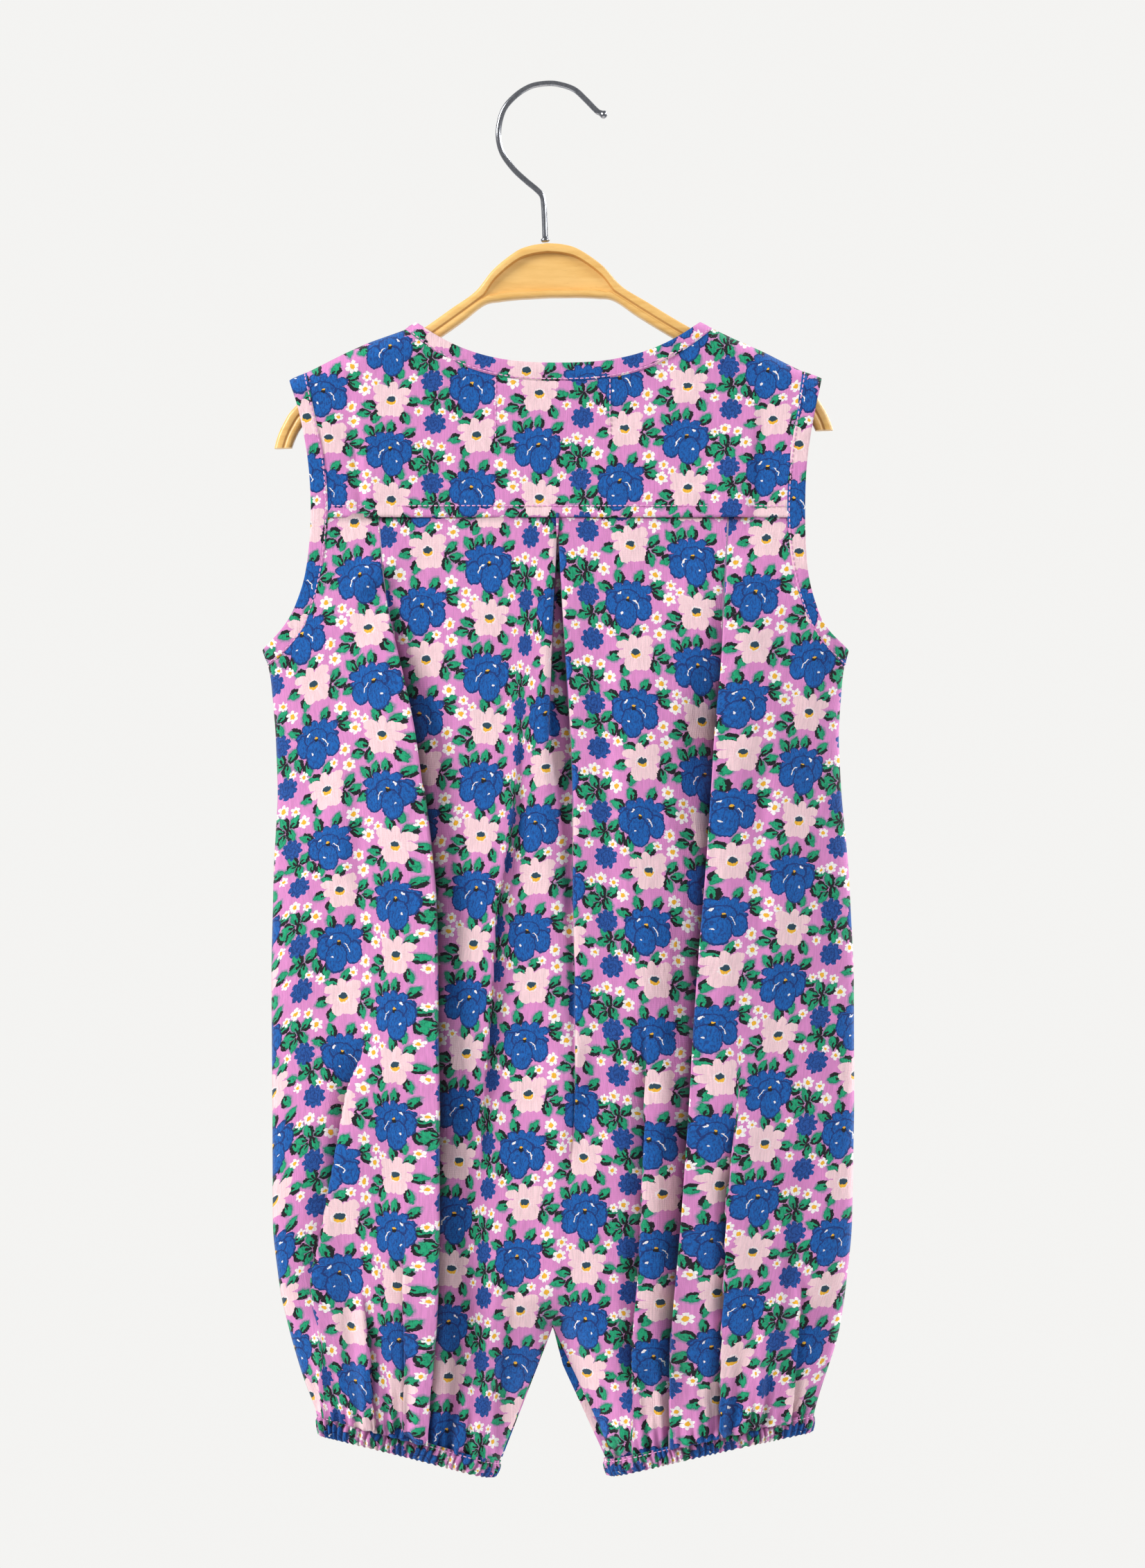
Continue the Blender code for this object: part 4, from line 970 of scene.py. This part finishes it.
def print_group():
    """Floral repeat as a node group: place in millimetres in, colour out."""
    tree = bpy.data.node_groups.new("floral_print", "ShaderNodeTree")
    tree.interface.new_socket("Place", in_out="INPUT", socket_type="NodeSocketVector")
    tree.interface.new_socket("Color", in_out="OUTPUT", socket_type="NodeSocketColor")
    g = Graph(tree)
    times, less, more, most, blend, size_of = (partial(g.math, operation) for operation in (
        "MULTIPLY", "LESS_THAN", "GREATER_THAN", "MAXIMUM", "MULTIPLY_ADD", "ABSOLUTE"))
    ink = partial(g.mix, "RGBA")
    place = tree.nodes.new("NodeGroupInput").outputs[0]
    ragged = g.node("TexNoise", {"Vector": place, "Scale": 0.6, "Detail": 2.0,
                                 "Roughness": 0.6})["Color"]
    wobble = g.vector("SUBTRACT", ragged, (0.5, 0.5, 0.5))
    spot = g.vector("ADD", place, g.vector("MULTIPLY", wobble, (2.2, 2.2, 0.0)))
    fine = g.noise(place, None, 1.3, 3.0, 0.6)
    crayon = g.noise(spot, (1.5, 0.5, 1.0), 1.0, 3.0, 0.6)

    def inside(value, low, high):
        return times(more(value, low), less(value, high))

    def oval(where, x, y, wide, tall):
        off = g.vector("SUBTRACT", where, (x, y, 0.0))
        return g.vector("LENGTH", g.vector("MULTIPLY", off, (1 / wide, 1 / tall, 0.0)))

    def dot(where, *numbers):
        return less(oval(where, *numbers), 1.0)

    def mirrored(off):
        sign = blend(g.split(off)[2], -2.0, 1.0)
        return g.vector("MULTIPLY", off, g.node("CombineXYZ", {0: sign, 1: 1.0})[0])

    def around(where, x=0.0, y=0.0):
        parts = g.split(g.vector("SUBTRACT", where, (x, y, 0.0)))
        return g.math("ARCTAN2", parts[1], parts[0])

    # Leaves, with their soft halo, their stalk and dark strokes.
    leaf, _ = g.pick(spot, LEAVES)
    lx, ly, _ = g.split(g.turned(leaf, times(g.split(leaf)[2], -math.pi / 0.18)))
    long = g.math("POWER", size_of(g.math("DIVIDE", lx, 4.0)), 2.0)
    body = g.math("ADD", long, size_of(g.math("DIVIDE", ly, 2.1)))
    shade = ink(times(g.between(body, 1.75, 1.0), 0.8), GROUND, HALO)
    deep = most(g.between(body, 0.55, 1.0), g.between(crayon, 0.5, 0.62))
    shade = ink(g.between(body, 1.05, 0.96), shade, ink(deep, LEAF, LEAF_DEEP))
    vein = blend(g.math("SINE", times(lx, 0.8)), 0.5, ly)
    vein = size_of(g.math("ADD", vein, 0.15))
    stroke = times(less(vein, 0.5), inside(lx, -5.4, -0.4))
    lower = times(inside(body, 0.66, 1.5), less(ly, -0.3))
    lower = times(times(lower, inside(lx, -3.8, 2.2)), more(fine, 0.34))
    shade = ink(most(stroke, lower), shade, STROKE)

    # Daisies, each with its own radius.
    daisy, near = g.pick(spot, DAISIES)
    near = g.math("DIVIDE", near, times(g.split(daisy)[2], 10.0))
    petals = blend(g.lobes(around(daisy), 6.0, 0.4, 0.5), 0.62, 0.44)
    shade = ink(less(near, petals), shade, WHITE)
    shade = ink(less(near, 0.4), shade, YELLOW)

    # Pale flowers: a scalloped round with small outer petals and a dark eye.
    flower = mirrored(g.pick(spot, PINK)[0])
    near = g.vector("LENGTH", g.vector("MULTIPLY", flower, (1.0, 1.0, 0.0)))
    angle = around(flower)
    body = less(near, blend(g.lobes(angle, 8.0, 0.9, 0.75), 3.4, 5.7))
    for petal in ((-7.2, 3.6, 2.5, 2.1), (6.0, 5.6, 3.0, 2.6), (-2.6, -7.0, 2.7, 2.6),
                  (4.4, -6.6, 2.6, 2.5)):
        body = most(body, dot(flower, *petal))
    streak = g.between(g.math("SINE", times(angle, 19.0)), 0.4, 1.0)
    streak = times(times(streak, g.between(near, 8.6, 3.0)), times(crayon, 0.75))
    shade = ink(body, shade, ink(streak, PALE, PALE_DEEP))
    shade = ink(times(dot(flower, 0.0, -0.6, 3.2, 2.9), 0.5), shade, WHITE)
    arc = times(dot(flower, 0.0, -0.9, 2.4, 2.0), less(g.split(flower)[1], -0.4))
    shade = ink(arc, shade, YELLOW)
    shade = ink(dot(flower, 0.0, 0.1, 2.2, 1.5), shade, TEAL)

    # Small blue flowers.
    bud, near = g.pick(spot, SMALL_BLUE)
    angle = around(bud)
    coil = less(g.math("FRACT", blend(angle, 0.32, times(near, 0.55))), 0.26)
    deep = most(times(coil, 0.8), g.between(crayon, 0.5, 0.6))
    edge = blend(g.lobes(angle, 9.0, 0.2, 0.7), 1.7, 4.2)
    shade = ink(less(near, edge), shade, ink(deep, BUD, BLUE_DEEP))

    # Large blue flowers: a wide crown, two side petals, a heart and a long one below.
    rose = mirrored(g.pick(spot, BIG_BLUE)[0])
    cloud = times(g.between(crayon, 0.45, 0.6), 0.75)
    ripple = blend(g.lobes(around(rose, -1.2, 1.0), 10.0, 0.7, 0.7), 0.34, 0.72)
    crown = g.math("DIVIDE", oval(rose, -1.2, 3.0, 11.6, 6.4), ripple)
    for size, rim in ((crown, 0.91), (oval(rose, 6.6, -1.8, 4.6, 6.2), 0.86),
                      (oval(rose, -7.4, -4.6, 4.6, 6.0), 0.86),
                      (oval(rose, 0.2, 0.8, 6.6, 4.6), 0.87),
                      (oval(rose, 1.2, -7.2, 5.6, 7.6), 0.89)):
        deep = most(cloud, more(size, rim))
        shade = ink(less(size, 1.0), shade, ink(deep, BLUE, BLUE_DEEP))
    gleam = times(inside(oval(rose, -0.6, -4.6, 4.9, 4.9), 0.93, 1.03),
                  inside(g.split(rose)[1], -4.8, -0.4))
    gleam = times(gleam, less(g.split(rose)[0], -1.6))
    slant = g.turned(g.vector("SUBTRACT", rose, (3.8, 3.2, 0.0)), 0.7)
    gleam = most(gleam, dot(slant, 0.0, 0.0, 1.1, 0.45))
    gleam = most(gleam, dot(rose, 3.2, -6.6, 0.6, 0.5))
    shade = ink(gleam, shade, WHITE)
    shade = ink(dot(rose, 0.0, 0.0, 1.15, 1.2), shade, STROKE)
    shade = ink(dot(rose, 0.0, 0.9, 0.8, 0.5), shade, YELLOW)
    tree.links.new(shade, tree.nodes.new("NodeGroupOutput").inputs[0])
    return tree


PRINT = print_group()


def new_material(name):
    material = bpy.data.materials.new(name)
    material.use_nodes = True
    tree = material.node_tree
    return material, tree.nodes["Principled BSDF"], Graph(tree)


def cloth_material(name, turn=0.0, shift=(0.0, 0.0)):
    """Printed plain-weave cotton with slubs, thread relief, small crinkles and painted shade
    where the mesh's deep attribute is set.
    """
    material, shader, g = new_material(name)
    place = g.node("Mapping", {
        "Vector": g.node("UVMap", {}, uv_map="print_uv")[0], "Scale": (1000.0,) * 3,
        "Rotation": (0.0, 0.0, math.radians(turn)), "Location": (*shift, 0.0)})[0]
    printed = g.put(g.node("Group", {}, node_tree=PRINT)[0].node, {0: place}).outputs[0]
    slub = g.noise(place, (1.5, 0.12, 1.0))
    tone = g.mix("RGBA", g.between(slub, 0.3, 0.72), (0.9, 0.9, 0.9, 1.0),
                 (1.05, 1.05, 1.05, 1.0))
    tinted = g.mix("RGBA", 1.0, printed, tone, blend_type="MULTIPLY")
    # Painted shade: the mesh's deep attribute darkens the printed colour towards near black
    # in fold and crease feet, the pleat's gap, under the yoke seam and between gathers.
    painted_shade = g.math("MULTIPLY", g.node("Attribute", {}, attribute_name="deep")["Fac"], 0.9)
    across, upright = (g.node("TexWave", {"Vector": place, "Scale": 0.62},
                              wave_type="BANDS", bands_direction=way)["Fac"] for way in "XY")
    crinkle = g.noise(place, (0.42, 0.13, 1.0), 1.0, 3.0, 0.55)
    height = g.math("MULTIPLY_ADD", crinkle, 4.0, g.math("MULTIPLY", across, upright))
    height = g.math("MULTIPLY_ADD", slub, 1.2, height)
    bump = g.node("Bump", {"Strength": 0.55, "Distance": 0.00028, "Height": height})[0]
    g.put(shader, {
        "Base Color": g.mix("RGBA", painted_shade, tinted, (0.02, 0.008, 0.02, 1.0)),
        "Normal": bump, "Roughness": 0.86, "Specular IOR Level": 0.22,
        "Sheen Weight": 0.1, "Sheen Roughness": 0.5})
    return material


def wood_material():
    material, shader, g = new_material("lacquered_wood")
    where = g.node("TexCoord", {})["Object"]
    lines = g.noise(where, (60.0, 200.0, 420.0), 1.0, 5.0, 0.6)
    broad = g.noise(where, (14.0, 60.0, 90.0))
    pore = g.noise(where, (220.0, 900.0, 2400.0))
    # Painted shade: the mesh's deep attribute draws a brown line in the groove and at the
    # recess's edge.
    groove = g.node("Attribute", {}, attribute_name="deep")["Fac"]
    shade = colour(242, 194, 116)
    for factor, tint in (
            (g.between(lines, 0.35, 0.68), (230, 178, 96)),
            (g.math("MULTIPLY", g.between(broad, 0.4, 0.7), 0.45), (248, 204, 130)),
            (g.math("MULTIPLY", g.between(pore, 0.66, 0.8), 0.5), (196, 142, 74)),
            (groove, (198, 142, 72))):
        shade = g.mix("RGBA", factor, shade, colour(*tint))
    g.put(shader, {
        "Base Color": shade, "Roughness": g.mix("FLOAT", lines, 0.34, 0.5),
        "Normal": g.node("Bump", {"Strength": 0.25, "Distance": 0.0002,
                                  "Height": lines})[0],
        "Coat Weight": 0.3, "Coat Roughness": 0.25})
    return material


def flecked_material(name, noise_values, limits, shades, roughness, inputs):
    """Plain surface whose colour and roughness vary a little with a fine noise."""
    material, shader, g = new_material(name)
    level = g.noise(g.node("TexCoord", {})["Object"], None, *noise_values)
    share = g.between(level, *limits) if limits else level
    shades = [colour(*shade) for shade in shades]
    g.put(shader, {"Base Color": g.mix("RGBA", share, *shades), **inputs})
    if roughness:
        g.put(shader, {"Roughness": g.mix("FLOAT", level, *roughness)})
    return material


def hanger():
    """Wooden body: rounded edges, a groove along the top and a recessed web."""
    fine = curve(HANGER_HALF, np.linspace(0, len(HANGER_HALF) - 1, 118))
    stations = np.concatenate([fine[:0:-1] * (-1, 1, -1, 1, 1, 1), fine])
    deep = HANGER_DEEP
    turn = 0.5 * np.pi * np.arange(7) / 6
    inset = HANGER_EDGE_RADIUS * (1 - np.cos(turn))
    lift = deep - HANGER_EDGE_RADIUS * (1 - np.sin(turn))
    rings = []
    for top_x, top_z, low_x, low_z, recess_end, recess in stations:
        top, low = np.array([top_x, top_z]), np.array([low_x, low_z])
        length = np.linalg.norm(low - top)
        groove = min(4.2, 0.46 * length)
        end = recess_end if length >= 12 else min(recess_end, 0.68 * length)
        end = max(end, groove + 1.6)
        small = min(0.35, 0.3 * (end - groove - 1.22))
        bevel, web = deep - 0.55 * recess, deep - recess
        face = np.array([
            *zip(inset, lift), (groove - 0.25, deep), (groove, deep - 0.1),
            (groove + 0.35, bevel), (groove + 0.8, web), (groove + 0.8 + small, web),
            (end - 0.42 - small, web), (end - 0.42, web), (end - 0.22, bevel),
            (end, deep - 0.1), (end + 0.25, deep), *zip(length - inset[::-1], lift[::-1])])
        face = np.vstack([face * (1, -1), face[::-1]])
        spot = top + (low - top) / length * face[:, :1]
        rings.append(places(spot[:, 0], face[:, 1], spot[:, 1]))
    x, y, z = np.moveaxis(np.array(rings), 2, 0)
    c, s = math.cos(HANGER_TILT), math.sin(HANGER_TILT)
    place = places(x * c + z * s + HANGER_TOP[0], y, z * c - x * s + HANGER_TOP[1])
    count, ring = x.shape
    # Painted shade: a darker line on the groove's walls and at the edge of the recess.
    line = np.zeros(ring)
    for spot, dark in ((8, 0.8), (9, 1.0), (10, 0.9), (14, 0.4), (15, 0.3)):
        line[[spot, ring - 1 - spot]] = dark
    item = add_mesh("wood_hanger", place, tube_faces(count, ring),
                    deep=np.tile(line, (count, 1)))
    item.data.set_sharp_from_angle(angle=math.radians(50.0))
    return item


def hook():
    line = curve(HOOK, np.linspace(0, len(HOOK) - 1, 360))
    way = np.gradient(line[:, :2], axis=0)
    dx, dz = (way / np.linalg.norm(way, axis=1, keepdims=True)).T[:, :, None]
    x, z, share = line.T[:, :, None]
    turn = 2 * np.pi * np.arange(24) / 24
    out, y = WIRE_RADIUS * share * np.cos(turn), WIRE_RADIUS * share * np.sin(turn)
    place = places(x + dz * out, y, z - dx * out)
    return add_mesh("wire_hook", place, tube_faces(360, 24, flip=True))


def crotch_placket():
    """Strip along both inner leg edges; gives the line of its inner edge."""
    heights = np.linspace(-687.2, -623, 40)
    left = leg_edge(heights, False) + 0.6
    right = leg_edge(heights, True) - 4 * np.minimum(1, (CROTCH_Z - heights) / 20)
    path = np.array([*zip(left, heights), (CROTCH_X, CROTCH_Z - 1.2),
                     *zip(right[::-1], heights[::-1])])
    angle = 0.5 * np.pi * (1 - np.tanh((np.arange(len(path)) - 40) / 5))
    v = np.linspace(0, 1, 7)[:, None]
    x = path[:, 0] + 11 * v * np.cos(angle)
    z = path[:, 1] + 11 * v * np.sin(angle)
    place = places(x, 0.35 + 0.12 * rough(x, z, 5.0, 6.1), z)
    item = cloth("cloth_crotch_placket", place, (0.7 * z + 0.7 * x, 0.7 * z - 0.7 * x),
                 wall=0.7)
    return item, path


def front_placket():
    z, x = np.meshgrid(np.linspace(-186.6, -292.5, 90), np.linspace(-5.6, 16.6, 30),
                       indexing="ij")
    rim = np.minimum(np.minimum(x + 5.6, 16.6 - x), z + 292.5)
    y = depth(x, z, True) + 1 - 0.35 * bell(rim, 0, 0.8)
    y += 0.12 * rough(x, z, 6.0, 8.1) - 0.2 * bell(rim, 2, 0.6)
    return cloth("cloth_front_placket", places(x, y, z), (x + 40, z + 20), flip=True,
                 wall=0.8)


def button(name, z):
    """Round button with a raised rim, and the two threads that cross on it."""
    above, at, below = (float(depth(BUTTON_X, z + step, True)) for step in (4, 0, -4))
    tall = at + 1.55
    slope = math.atan2(below - above, 8)
    profile = np.array((
        (0.01, 1.35), (1.9, 1.35), (3.2, 1.5), (3.8, 1.95), (4.3, 2.15), (4.8, 2),
        (5.15, 1.5), (5.2, 0.9), (4.9, 0.35), (4.2, 0.1), (0.01, 0)))
    turn = 2 * np.pi * np.arange(48) / 48
    radius, up = profile.T[:, :, None]
    c, s = math.cos(slope), math.sin(slope)
    out = radius * np.sin(turn)
    place = places(radius * np.cos(turn) + BUTTON_X, tall + up * c - out * s,
                   z + out * c + up * s)
    item = add_mesh(name, place, grid_faces(len(profile), 48, wrap=True))
    ends = []
    for a in np.radians((45, 135, 225, 315)):
        hx, hz = HOLE_RADIUS * math.cos(a), HOLE_RADIUS * math.sin(a)
        ends.append((BUTTON_X + hx, tall + 1.42 * c - hz * s, z + hz * c + 1.42 * s))
    return item, (np.array(ends[::2]), np.array(ends[1::2]))


def seam(xs, zs, y, way):
    """Path for stitches at a place y from the middle plane, lifted along Y."""
    path = places(xs, y, zs)
    return path, np.tile((0.0, way, 0.0), (len(path), 1))


COTTON = cloth_material("printed_cotton")
COTTON_STRIP = cloth_material("printed_cotton_band", 38.0, (11.0, 5.0))
COTTON_CUFF = cloth_material("printed_cotton_cuff", 0.0, (3.0, -22.0))
WOOD = wood_material()
CHROME = flecked_material(
    "chromed_wire", (900.0, 3.0), (0.3, 0.8), ((168, 170, 176), (138, 141, 148)),
    (0.14, 0.22), {"Metallic": 1.0})
THREAD = flecked_material(
    "sewing_thread", (2600.0,), None, ((244, 186, 222), (214, 140, 194)),
    None, {"Roughness": 0.6, "Sheen Weight": 0.2})
PEARL = flecked_material(
    "pearly_button", (320.0, 3.0, 0.6), (0.35, 0.7), ((236, 222, 236), (206, 184, 214)),
    (0.18, 0.34), {"Coat Weight": 0.4})

finish_piece(back_panel(), COTTON)
finish_piece(yoke("cloth_back_yoke", False, (34, 110, 66), back_relief), COTTON)
finish_piece(yoke("cloth_front_yoke", True, (24, 84, 56), front_relief), COTTON)
finish_piece(front_panel(), COTTON)

# Seam stitches: yoke, neck, armholes, casings, the two short rows that hold a tab
# inside the neck, placket and crotch strip.
xs, zs = np.linspace(-108, 119, 300), YOKE_SEAM_Z + TOPSTITCH_RISE
paths = [seam(xs, zs, -depth(xs, zs, False) - 0.25, -1.0)]
for name, rings, start, bulge, seed in (
        ("cloth_neck_band", neck_ring(150), (31.1, 136.5), 0.35, 3.0),
        ("cloth_armhole_band_left", armhole_ring(ARMHOLE_LEFT, 130), (140.8, 159.7), 0.3,
         4.0),
        ("cloth_armhole_band_right", armhole_ring(ARMHOLE_RIGHT, 130), (-105, 173.4), 0.3,
         5.0)):
    paths.append(band_piece(name, rings, start, bulge, seed))
paths.append(cuff("cloth_leg_cuff_left", LEFT_CUFF_TOP, LEFT_CUFF_LOW, 2.0))
paths.append(cuff("cloth_leg_cuff_right", RIGHT_CUFF_TOP, RIGHT_CUFF_LOW, 6.0))
strip, strip_path = crotch_placket()
finish_piece(strip, COTTON_STRIP)
finish_piece(front_placket(), COTTON)
finish_piece(hanger(), WOOD, "hanger_body")
finish_piece(hook(), CHROME, "hanger_hook")
zs = np.linspace(-147, -177, 30)
for x in (-25.6, 31.6):
    paths.append(seam(x, zs, -depth(x, zs, False) - 0.35, -1.0))
for xs, zs in ((-3.6, np.linspace(-187, -290.5, 100)), (14.6, np.linspace(-187, -290.5, 100)),
               (np.linspace(-3.6, 14.6, 30), -290.5)):
    paths.append(seam(xs, zs, depth(xs, zs, True) + 1.05, 1.0))
paths.append(seam(strip_path[41:, 0] + 1.6, strip_path[41:, 1], 0.15, -1.0))
finish_piece(stitches("seam_stitches", paths, 2.7, 1.9), THREAD, "back_yoke", ())

crosses = []
for number in range(4):
    item, ends = button("pearl_button_%d" % (number + 1), -197 - 25 * number)
    finish_piece(item, PEARL, "button", ["button_%d" % (number + 1)])
    crosses += [(line, np.tile((0.0, 1.0, 0.0), (2, 1))) for line in ends]
finish_piece(stitches("button_thread", crosses, 9.0, 2.9), THREAD, "button", ())

# Studio: a pale floor under the hanging piece, soft lights and the camera.
turn = 2 * np.pi * np.arange(96) / 96
floor = add_mesh("studio_floor", [(0, 0, -960), *zip(
    820 * np.cos(turn), 820 * np.sin(turn), np.full(96, -960))],
    [(0, 1 + k, 1 + (k + 1) % 96) for k in range(96)])
paper, surface, g = new_material("pale_floor")
g.put(surface, {"Base Color": (0.82, 0.82, 0.81, 1.0), "Roughness": 0.9})
floor.data.materials.append(paper)

world = bpy.data.worlds.new("studio")
bpy.context.scene.world = world
world.use_nodes = True
g = Graph(world.node_tree)
height = g.split(g.node("TexCoord", {})["Generated"])[1]
g.put(world.node_tree.nodes["Background"], {"Strength": 1.0, "Color": g.mix(
    "RGBA", g.between(height, 0.1, 0.8), (0.34, 0.34, 0.345, 1.0),
    (0.905, 0.9, 0.885, 1.0))})

LAMP_TARGET = Vector((0.0, 0.0, -0.38))
for name, place, energy, tint in (
        ("key", (-2.1, -1.15, 0.95), 77.0, (1.0, 0.99, 0.97)),
        ("fill", (2.2, -1.2, 0.7), 35.0, (0.97, 0.98, 1.0)),
        ("rear", (1.9, 1.1, 0.9), 44.0, (1.0, 1.0, 1.0))):
    light = bpy.data.lights.new(name, "AREA")
    light.shape = "RECTANGLE"
    light.size, light.size_y = 0.9, 1.2
    light.energy = energy
    light.color = tint
    item = bpy.data.objects.new(name, light)
    bpy.context.scene.collection.objects.link(item)
    item.location = place
    way = LAMP_TARGET - item.location
    item.rotation_euler = way.to_track_quat("-Z", "Y").to_euler()

# The photograph is 2263 pixels high; each pixel is 0.3475 mm on the object.
PIXEL = 0.3475 * MM
DISTANCE = 2.6
camera = bpy.data.cameras.new("photo_view")
camera.sensor_fit = "VERTICAL"
camera.sensor_height = 24.0
camera.lens = 24.0 * DISTANCE / (2263 * PIXEL)
view = bpy.data.objects.new("photo_view", camera)
bpy.context.scene.collection.objects.link(view)
view.location = (37 * PIXEL, -DISTANCE, -1006.9 * PIXEL)
view.rotation_euler = (math.pi / 2, 0.0, 0.0)
bpy.context.scene.camera = view
bpy.context.scene.view_settings.view_transform = "Standard"
